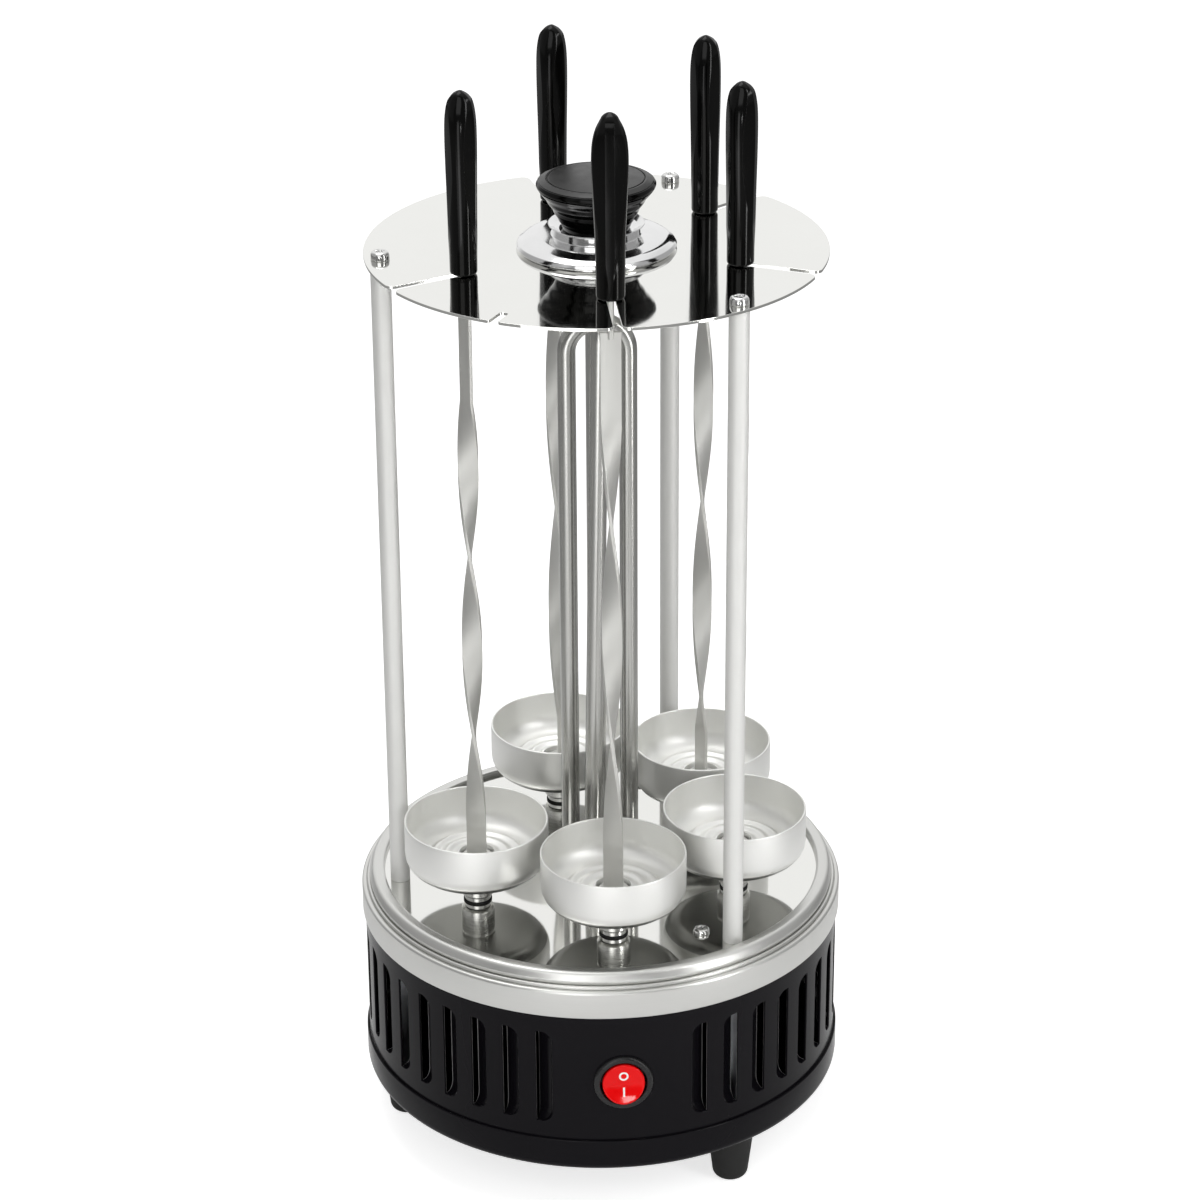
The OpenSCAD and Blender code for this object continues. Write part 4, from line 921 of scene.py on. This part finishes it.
dish_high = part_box("knob_dish")[1]
dish_r, dish_top = dish_high.x / mm, dish_high.z / mm
ring_r, ring_bore_r, seat_r = 18.8, 16.2, 14.6
dish_neck_r = ring_r - 1.5
dish_seat = dish_top - 2.4
dish_wall = 0.8
dish = turned("knob_dish_dressed", eased([
    (dish_r - 3.5, plate_top, 0.3), (dish_r - 1.0, plate_top, 0.7), (dish_r, plate_top + 1.2, 0.6),
    (dish_r - 0.9, plate_top + 2.6, 1.5), (dish_r - 3.4, plate_top + 4.2, 6.0),
    (dish_r - 8.0, plate_top + 5.3, 14.0), (dish_neck_r, plate_top + 5.6, 0.5),
    (dish_neck_r, dish_top - 1.0, 0.8), (ring_r, dish_top - 0.4, 0.25),
    (ring_r - 0.1, dish_top, 0.2), (ring_bore_r, dish_top - 1.6, 1.5), (seat_r, dish_seat, 1.0),
    (0, dish_seat, 0), (0, dish_seat - dish_wall, 0), (dish_neck_r - dish_wall, dish_seat - dish_wall, 0.2),
    (dish_neck_r - dish_wall, plate_top + 3.6, 0.2), (dish_r - 6, plate_top + 3.4, 1.0),
    (dish_r - 3.5, plate_top + 1.4, 0.3)], steps=10), steps=160)
dish.data.materials.append(chrome)
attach(dish, "root")
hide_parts("knob_dish")

# Knob
# A black moulded carrying knob: a glossy flare with three soft ridges, and a flat satin top with a fine
# groove and a bevelled rim. The top is plain. One screw comes up through the plate and the dish.
knob_gloss, tree, shader = finish("knob_gloss", (0.0015, 0.0015, 0.0014), 0.12, Specular_IOR_Level=0.16)
handling = spots_of(tree, 55, 4)
wired(shader, blended(tree, handling, (0.001, 0.001, 0.001), (0.002, 0.002, 0.0019)),
      spread(tree, handling, 0.1, 0.14), relief(tree, handling, 0.004, 0.03))

knob_low, knob_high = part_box("knob")
knob_r, knob_foot, knob_top = knob_high.x / mm, knob_low.z / mm, knob_high.z / mm
knob_neck_r, flare_foot_r, flare_top_r = 14.2, 14.6, knob_r - 0.9
knob_neck_top, flare_foot, flare_top = knob_foot + 3, knob_foot + 3.4, knob_top - 4.3
flare_steps, flare_curl = 60, 0.2
ridges, ridge_rise, ridge_fade = 3.0, 0.12, 6
groove_floor, satin_from = knob_top - 0.6, knob_top - 1.0
flare = eased([(0, knob_foot, 0), (knob_neck_r - 1.2, knob_foot, 0.3), (knob_neck_r, knob_neck_top, 2.0),
               (flare_foot_r, flare_foot, 0)], closed=False)
for k in range(1, flare_steps + 1):
    t = k / flare_steps
    swell = (1 - flare_curl) * t + flare_curl * t ** 2.5
    ridge = ridge_rise * math.sin(math.tau * ridges * t) * min(1, ridge_fade * t, ridge_fade * (1 - t))
    flare.append(Vector((flare_foot_r + (flare_top_r - flare_foot_r) * swell - ridge,
                         flare_foot + (flare_top - flare_foot) * t)))
crown = eased([
    (flare_top_r - 0.35, flare_top + 0.15, 0.08), (flare_top_r - 0.3, flare_top + 0.55, 0.1),
    (knob_r - 0.25, flare_top + 0.9, 0.25), (knob_r, knob_top - 2.4, 0.3),
    (knob_r - 0.7, knob_top - 1.3, 0.3), (knob_r - 0.95, knob_top - 1.3, 0.08),
    (knob_r - 1.2, knob_top - 1.05, 0.2), (knob_r - 3.6, knob_top - 0.1, 0.8),
    (knob_r - 4.2, knob_top - 0.1, 0.12), (knob_r - 4.25, groove_floor, 0.08),
    (knob_r - 4.6, groove_floor, 0.08), (knob_r - 4.65, knob_top, 0.2), (0, knob_top, 0)],
    steps=5, closed=False)
knob = turned("knob_dressed", flare + crown, steps=160)
knob_satin, tree, shader = finish("knob_satin", (0.012, 0.012, 0.0115), 0.36, Specular_IOR_Level=0.4)
scuffs = spots_of(tree, 160, 4)
wired(shader, blended(tree, scuffs, (0.01, 0.01, 0.0097), (0.016, 0.016, 0.0155)),
      spread(tree, scuffs, 0.31, 0.42), relief(tree, spots_of(tree, 2000, 2), 0.015, 0.15))
knob.data.materials.append(knob_gloss)
knob.data.materials.append(knob_satin)
for face in knob.data.polygons:
    face.material_index = int(face.center.z > satin_from * mm)
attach(knob, "root")
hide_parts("knob")
dress("knob_screw", bright_screws)

# Skewer blades
# Flat steel strip twisted along its length, ground lengthwise, with a point that drops into the spindle.
# A round neck at the top runs in the plate's slot and goes up into the handle.
twisted, given, result = node_tree("twisted_blade", [
    ("Width", "Float"), ("Thickness", "Float"), ("Bottom", "Float"), ("Top", "Float"), ("Point", "Float"),
    ("Twist From", "Float"), ("Twist To", "Float"), ("Edge Height", "Float"), ("Half Turn", "Float"),
    ("Edge View", "Float"), ("Place", "Vector"), ("Steps", "Int"), ("Finish", "Material")])
tip_share = 0.5
length = sums(twisted, "SUBTRACT", given["Top"], given["Bottom"])
bar = add(twisted, "GeometryNodeMeshCube", {
    "Size": add(twisted, "ShaderNodeCombineXYZ",
                {"X": given["Width"], "Y": given["Thickness"], "Z": length}).outputs[0],
    "Vertices Z": given["Steps"]})
at = add(twisted, "ShaderNodeSeparateXYZ",
         {0: add(twisted, "GeometryNodeInputPosition").outputs[0]}).outputs
height = sums(twisted, "ADD", at["Z"], sums(twisted, "MULTIPLY_ADD", length, 0.5, given["Bottom"]))
point_top = sums(twisted, "ADD", given["Bottom"], given["Point"])
taper = add(twisted, "ShaderNodeMapRange",
            {0: height, 1: given["Bottom"], 2: point_top, 3: tip_share, 4: 1.0})
held = sums(twisted, "MINIMUM", sums(twisted, "MAXIMUM", height, given["Twist From"]), given["Twist To"])
turns = sums(twisted, "DIVIDE", sums(twisted, "SUBTRACT", held, given["Edge Height"]), given["Half Turn"])
angle = sums(twisted, "MULTIPLY_ADD", turns, -math.pi, given["Edge View"])
flat = add(twisted, "ShaderNodeCombineXYZ", {
    "X": sums(twisted, "MULTIPLY", at["X"], taper.outputs[0]), "Y": at["Y"], "Z": height})
wound = add(twisted, "ShaderNodeVectorRotate", {"Vector": flat.outputs[0], "Angle": angle},
            rotation_type="Z_AXIS")
moved = add(twisted, "ShaderNodeVectorMath", {0: wound.outputs[0], 1: given["Place"]}, operation="ADD")
set_place = add(twisted, "GeometryNodeSetPosition",
                {"Geometry": bar.outputs[0], "Position": moved.outputs[0]})
end_tree(twisted, set_place, given, result)

blade_steel, tree, shader = finish("blade_steel", (0.66, 0.66, 0.635), 0.54, 1.0)
ground = spots_of(tree, 1.0, 4, (1500, 1500, 14))
stain = spots_of(tree, 30, 3)
steel = blended(tree, ground, (0.63, 0.63, 0.605), (0.69, 0.69, 0.665))
stained = blended(tree, spread(tree, stain, 0, 0.3), steel, (0.57, 0.56, 0.535))
wired(shader, stained, spread(tree, ground, 0.5, 0.58), relief(tree, ground, 0.008, 0.12))

blade_w, blade_t, blade_edge = 8.0, 1.5, 0.2
point_h, twist_foot, blade_steps = 5.0, cup_rim + 4, 180
# For each skewer: the height at which its edge shows, the length of half a turn, and the twist's end
edge_heights = [188, 197, 178, 168, 152]
half_turns = [79, 95, 90, 90, 98]
twist_ends = [332, 338, 340, 340, 345]
edge_view = 85
blade_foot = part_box("skewer_blade_1")[0].z / mm
neck_r, neck_below = 1.4, 12.0
blade_top = plate_z - neck_below
handle_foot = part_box("skewer_handle_1")[0].z / mm
neck_foot, neck_top = blade_top - 3, handle_foot + 8
for i, station in enumerate(stations, 1):
    blade = grown(f"skewer_blade_{i}_dressed", twisted, bpy.data.meshes.new("blade"), {
        "Width": blade_w * mm, "Thickness": blade_t * mm, "Bottom": blade_foot * mm, "Top": blade_top * mm,
        "Point": point_h * mm, "Twist From": twist_foot * mm, "Twist To": twist_ends[i - 1] * mm,
        "Edge Height": edge_heights[i - 1] * mm, "Half Turn": half_turns[i - 1] * mm,
        "Edge View": math.radians(edge_view), "Place": station * mm, "Steps": blade_steps,
        "Finish": blade_steel})
    neck = turned("neck", eased([
        (0, neck_foot, 0), (neck_r, neck_foot, 0.6), (neck_r, neck_top, 0.1), (0, neck_top, 0)]),
        station, 24)
    work = bmesh.new()
    work.from_mesh(blade.data)
    bmesh.ops.bevel(work, geom=[e for e in work.edges if e.is_manifold and e.calc_face_angle() > 1.0],
                    offset=blade_edge * mm, segments=2, affect="EDGES", profile=0.5)
    work.from_mesh(neck.data)
    bpy.data.objects.remove(neck)
    for face in work.faces:
        face.smooth = True
        face.material_index = 0
    work.to_mesh(blade.data)
    work.free()
    blade.data.materials.clear()
    blade.data.materials.append(blade_steel)
    blade.data.set_sharp_from_angle(angle=math.radians(35))
    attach(blade, f"skewer_{i}")
    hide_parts(f"skewer_blade_{i}")


# Skewer handles
# Gloss black mouldings on the blades' necks: narrow and square at the foot, swelling to broad roof-like
# facets either side of a flat middle, and drawn in to a small round end.
def faired(table, t):
    """Value at t on a smooth curve through the points of a table."""
    k = max(j for j in range(len(table) - 1) if table[j][0] <= t or j == 0)
    (t0, v0), (t1, v1) = table[k], table[k + 1]
    step = t1 - t0
    slope = [0.0, 0.0]
    for end, (near, j) in enumerate(((k, k - 1), (k + 1, k + 2))):
        if 0 <= j < len(table):
            a, b = sorted((table[near], table[j]))
            slope[end] = ((v1 - v0) / step + (b[1] - a[1]) / (b[0] - a[0])) / 2 * step
        else:
            slope[end] = v1 - v0
    s = (t - t0) / step
    return ((2 * s ** 3 - 3 * s ** 2 + 1) * v0 + (s ** 3 - 2 * s ** 2 + s) * slope[0]
            + (3 * s ** 2 - 2 * s ** 3) * v1 + (s ** 3 - s ** 2) * slope[1])


handle_gloss, tree, shader = finish("handle_gloss", (0.0012, 0.0012, 0.0011), 0.14, Specular_IOR_Level=0.18)
handling = spots_of(tree, 45, 4)
wired(shader, blended(tree, handling, (0.0009, 0.0009, 0.0008), (0.0016, 0.0016, 0.0015)),
      spread(tree, handling, 0.12, 0.17), relief(tree, handling, 0.004, 0.03))

handle_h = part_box("skewer_handle_1")[1].z / mm - handle_foot
# Half sizes of a handle at shares of its length: across, deep, and across to the facets' edges
half_width = [(0, 5.5), (0.16, 5.6), (0.33, 5.8), (0.5, 6.35), (0.67, 6.9), (0.76, 7.0), (0.84, 6.6),
              (0.88, 6.05), (0.92, 5.1), (0.955, 3.8), (0.972, 3.2), (0.988, 2.6), (1, 2.2)]
half_depth = [(0, 5.25), (0.2, 5.3), (0.4, 5.5), (0.6, 5.8), (0.75, 5.9), (0.84, 5.75), (0.89, 5.4),
              (0.93, 4.85), (0.955, 4.2), (0.975, 3.1), (1, 1.6)]
facet_half = [(0, 0.9), (0.1, 1.2), (0.2, 2.3), (0.33, 4.1), (0.5, 5.7), (0.6, 6.15), (0.76, 6.2),
              (0.84, 5.5), (0.92, 3.8), (0.955, 2.6), (1, 1.2)]
handle_turns = [80, 0, 70, 80, 75]
foot_round = 1.1
handle_levels = ([foot_round / handle_h * (1 - math.cos(math.radians(15 * k))) for k in range(7)]
                 + [k / 48 for k in range(1, 46)]
                 + [0.95, 0.96, 0.967, 0.974, 0.98, 0.985, 0.99, 0.994, 0.997, 0.999, 1.0])
middle_half, side_half = 1.75, 0.15
dome_from, dome_span = 0.975, 0.0252


def handle_ring(t):
    """Cross-section of a handle: flat middle, roof facets and rounded sides, front and back alike."""
    wide, deep, facet = faired(half_width, t), faired(half_depth, t), faired(facet_half, t)
    dome = math.sqrt(max(1 - (max(t - dome_from, 0) / dome_span) ** 2, 0.02))
    lift = min(t * handle_h / foot_round, 1)
    middle = min(middle_half, facet * 0.75)
    facet = max(facet, middle + 0.2)
    stop = math.asin(min(facet / wide, 0.94))
    last = max(math.acos(min(side_half / deep, 0.4)), stop + 0.05)
    quarter = [(middle, -deep, 0.2), (facet, -deep * math.cos(stop), 0.15)]
    quarter += [(wide * math.sin(a), -deep * math.cos(a), 0)
                for a in (stop + (last - stop) * k / 8 for k in range(1, 9))]
    corners = quarter + [(x, -y, ease) for x, y, ease in reversed(quarter)]
    corners += [(-x, -y, ease) for x, y, ease in corners]
    outline = eased(corners, steps=3)
    drawn_in = foot_round * (1 - math.sqrt(1 - (1 - lift) ** 2))
    return [(p - p.normalized() * drawn_in) * dome for p in outline]


for i, station in enumerate(stations, 1):
    work = bmesh.new()
    rings = strip(work, [[Vector((p.x, p.y, handle_foot + handle_h * t)) * mm for p in handle_ring(t)]
                         for t in handle_levels], closed=True)
    work.faces.new(list(reversed(rings[0])))
    work.faces.new(rings[-1])
    bmesh.ops.transform(work, verts=work.verts, matrix=Matrix.Translation(station * mm) @ Matrix.Rotation(
        math.radians(edge_view - 90 + handle_turns[i - 1]), 4, "Z"))
    handle = as_piece(f"skewer_handle_{i}_dressed", work, sharp=50)
    handle.data.materials.append(handle_gloss)
    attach(handle, f"skewer_{i}")
    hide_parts(f"skewer_handle_{i}")

# Switch housing
# A round housing moulded in black plastic, snapped into the drum. Its bezel lies on the drum's face and
# the rocker tilts in its bore.
switch_plastic, tree, shader = finish("switch_black", (0.01, 0.01, 0.0105), 0.26, Specular_IOR_Level=0.35)
grain = spots_of(tree, 300, 3)
wired(shader, blended(tree, grain, (0.009, 0.009, 0.0095), (0.013, 0.013, 0.0135)),
      spread(tree, grain, 0.24, 0.32), relief(tree, spots_of(tree, 2200, 2), 0.02, 0.15))

bezel_r, bezel_t, bezel_back = 12.0, 1.8, -1.1
bore_r, bore_depth = 9.5, 7.0
switch_depth = 20.0
body_r = 10.0
to_switch = Matrix(((1, 0, 0, 0), (0, 0, -1, -drum_r * mm), (0, 1, 0, switch_z * mm), (0, 0, 0, 1)))
housing = turned("switch_housing_dressed", eased([
    (0, -bore_depth, 0), (bore_r, -bore_depth, 0.3), (bore_r, bezel_t, 0.5), (bezel_r, bezel_t, 1.3),
    (bezel_r, bezel_back, 0.2), (body_r, bezel_back, 0.2), (body_r, -switch_depth, 0.6),
    (0, -switch_depth, 0)]), steps=96)
housing.data.transform(to_switch)
housing.data.materials.append(switch_plastic)
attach(housing, "root")
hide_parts("switch_housing")

# Rocker
# A round red rocker of tinted plastic, bent in the middle, with a white O and I set into its face.
# It turns on two pins in the housing; the upper half is pressed in at rest.
switch_red, tree, shader = finish("switch_red", (0.76, 0.0008, 0.0015), 0.05, Specular_IOR_Level=0.22)
glow = spots_of(tree, 140, 3)
wired(shader, blended(tree, glow, (0.7, 0.0005, 0.001), (0.82, 0.001, 0.002)),
      spread(tree, glow, 0.04, 0.07), relief(tree, spots_of(tree, 400, 2), 0.005, 0.05))

rocker_r, rocker_depth, rocker_sides = 8.6, 4.0, 72
pivot_in, rocker_half = 0.5, 9
bend_ease, crown_bow, dish_slope, dish_bow = 0.6, 0.0025, 0.07, 0.0115
edge_drop, skirt_in = 0.8, 0.9
to_rocker = (to_switch @ Matrix.Translation((0, 0, (bezel_t - pivot_in) * mm))
             @ Matrix.Rotation(math.radians(-rocker_half), 4, "X"))


def rocker_height(y, x=0.0):
    """Height of the rocker's face over its pivot: a flat upper half and a dished lower one."""
    rise = math.sqrt(y * y + bend_ease) - math.sqrt(bend_ease)
    half = rise * math.tan(math.radians(rocker_half)) if y > 0 else dish_slope * rise + dish_bow * y * y
    return pivot_in - crown_bow * x * x + half


def circle(radius, sides):
    """Points round a circle, as x and y."""
    return [(radius * math.cos(math.tau * k / sides), radius * math.sin(math.tau * k / sides))
            for k in range(sides)]


face_rings = [(1e-9, 0)] + [(rocker_r * k / 9, 0) for k in range(1, 9)] + [
    (8.1, 0.02), (8.35, 0.14), (8.53, 0.4), (rocker_r, edge_drop)]
rows = [[Vector((x, y, rocker_height(y, x) - drop)) * mm for x, y in circle(radius, rocker_sides)]
        for radius, drop in face_rings]
rim_heights = [rocker_height(y, x) - edge_drop for x, y in circle(rocker_r, rocker_sides)]
for share in (0.5, 1.0):
    skirt = circle(rocker_r - skirt_in * share ** 2, rocker_sides)
    rows.append([Vector((x, y, z * (1 - share) - rocker_depth * share)) * mm
                 for (x, y), z in zip(skirt, rim_heights)])
work = bmesh.new()
rings = strip(work, rows, closed=True)
work.faces.new(list(reversed(rings[-1])))
rocker = as_piece("rocker_dressed", work, sharp=60)
rocker.data.transform(to_rocker)
rocker.data.materials.append(switch_red)
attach(rocker, "rocker")
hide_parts("rocker")

mark_white, tree, shader = finish("mark_white", (0.85, 0.85, 0.84), 0.35)
ink = spots_of(tree, 900, 3)
wired(shader, blended(tree, ink, (0.82, 0.82, 0.81), (0.9, 0.9, 0.89)),
      spread(tree, ink, 0.3, 0.42), relief(tree, ink, 0.01, 0.1))
mark_y, ring_mark_r, bar_half, stroke = 3.4, 1.55, 1.9, 0.75
mark_root, mark_face, ring_sides, bar_steps = -0.1, 0.03, 48, 8
stroke_edges = [(-stroke / 2, mark_root), (-stroke / 2, mark_face),
                (stroke / 2, mark_face), (stroke / 2, mark_root)]
bar_ys = [-mark_y - bar_half + 2 * bar_half * k / bar_steps for k in range(bar_steps + 1)]
ring_rows = [[Vector((x, mark_y + y, rocker_height(mark_y + y) + lift)) * mm
              for x, y in circle(ring_mark_r + off, ring_sides)] for off, lift in stroke_edges]
bar_rows = [[Vector((off, y, rocker_height(y) + lift)) * mm for off, lift in stroke_edges] for y in bar_ys]
work = bmesh.new()
strip(work, ring_rows, closed=True)
strip(work, bar_rows)
marks_on = as_piece("rocker_marks", work)
marks_on.data.transform(to_rocker)
marks_on.data.materials.append(mark_white)
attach(marks_on, "rocker")

# Cord inlet
# A moulded rubber gland, snapped into a hole in the back of the drum by the groove round it.
gland_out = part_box("cord_gland")[1].y / mm - drum_r
inlet_r, gland_r, gland_lip_r, gland_groove_r, gland_in = 3.6, 6.7, 8.0, 5.2, -6.0
gland = turned("cord_gland_dressed", eased([
    (inlet_r, gland_in, 0.3), (inlet_r, gland_out, 0.6), (gland_r, gland_out, 0.8), (gland_lip_r, 0.4, 0.4),
    (gland_lip_r + 0.1, -0.4, 0.2), (gland_groove_r, -0.5, 0.2), (gland_groove_r, -2.5, 0.2),
    (gland_r, -2.6, 0.3), (gland_r, gland_in, 0.5)]), steps=64)
gland.data.transform(Matrix(((1, 0, 0, 0), (0, 0, 1, drum_r * mm), (0, -1, 0, inlet_z * mm), (0, 0, 0, 1))))
gland.data.materials.append(rubber)
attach(gland, "root")
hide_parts("cord_gland")


# Works inside the base
# Plated steel, nylon gears, brass terminals, ceramic blocks and sleeved leads, all on the frame's own
# solids, which are bolted to the gear plate, the posts and the pan.
def plain_finish(name, first, second, rough, metallic, scale):
    """Cloudy finish between two colours for a piece that is hidden in the base."""
    made, tree, shader = finish(name, first, rough, metallic)
    cloud = spots_of(tree, scale, 3)
    wired(shader, blended(tree, cloud, first, second),
          spread(tree, cloud, rough * 0.85, rough * 1.2),
          relief(tree, spots_of(tree, scale * 8, 2), 0.02, 0.1))
    return made


zinc = plain_finish("zinc_steel", (0.5, 0.52, 0.54), (0.62, 0.64, 0.66), 0.35, 1.0, 150)
nylon = plain_finish("nylon", (0.78, 0.78, 0.73), (0.86, 0.86, 0.81), 0.45, 0.0, 120)
ceramic = plain_finish("ceramic", (0.83, 0.82, 0.77), (0.9, 0.89, 0.85), 0.5, 0.0, 200)
brass = plain_finish("brass", (0.7, 0.53, 0.25), (0.8, 0.63, 0.33), 0.28, 1.0, 180)
sleeve = plain_finish("wire_grey", (0.36, 0.36, 0.38), (0.46, 0.46, 0.48), 0.6, 0.0, 300)
dress("heater_terminals", brass)
dress("wiring", sleeve)
dress("motor_shaft", satin_steel)
for node in ("heater_insulators", "terminal_block"):
    dress(node, ceramic)
for node in ["sun_gear", "motor_pinion"] + [f"spindle_gear_{i}" for i in range(1, 6)]:
    dress(node, nylon)
for node in ("foot_screws", "posts", "spacers", "gear_plate", "heater_hub", "motor_body", "motor_rotor",
             "motor_screws"):
    dress(node, zinc)
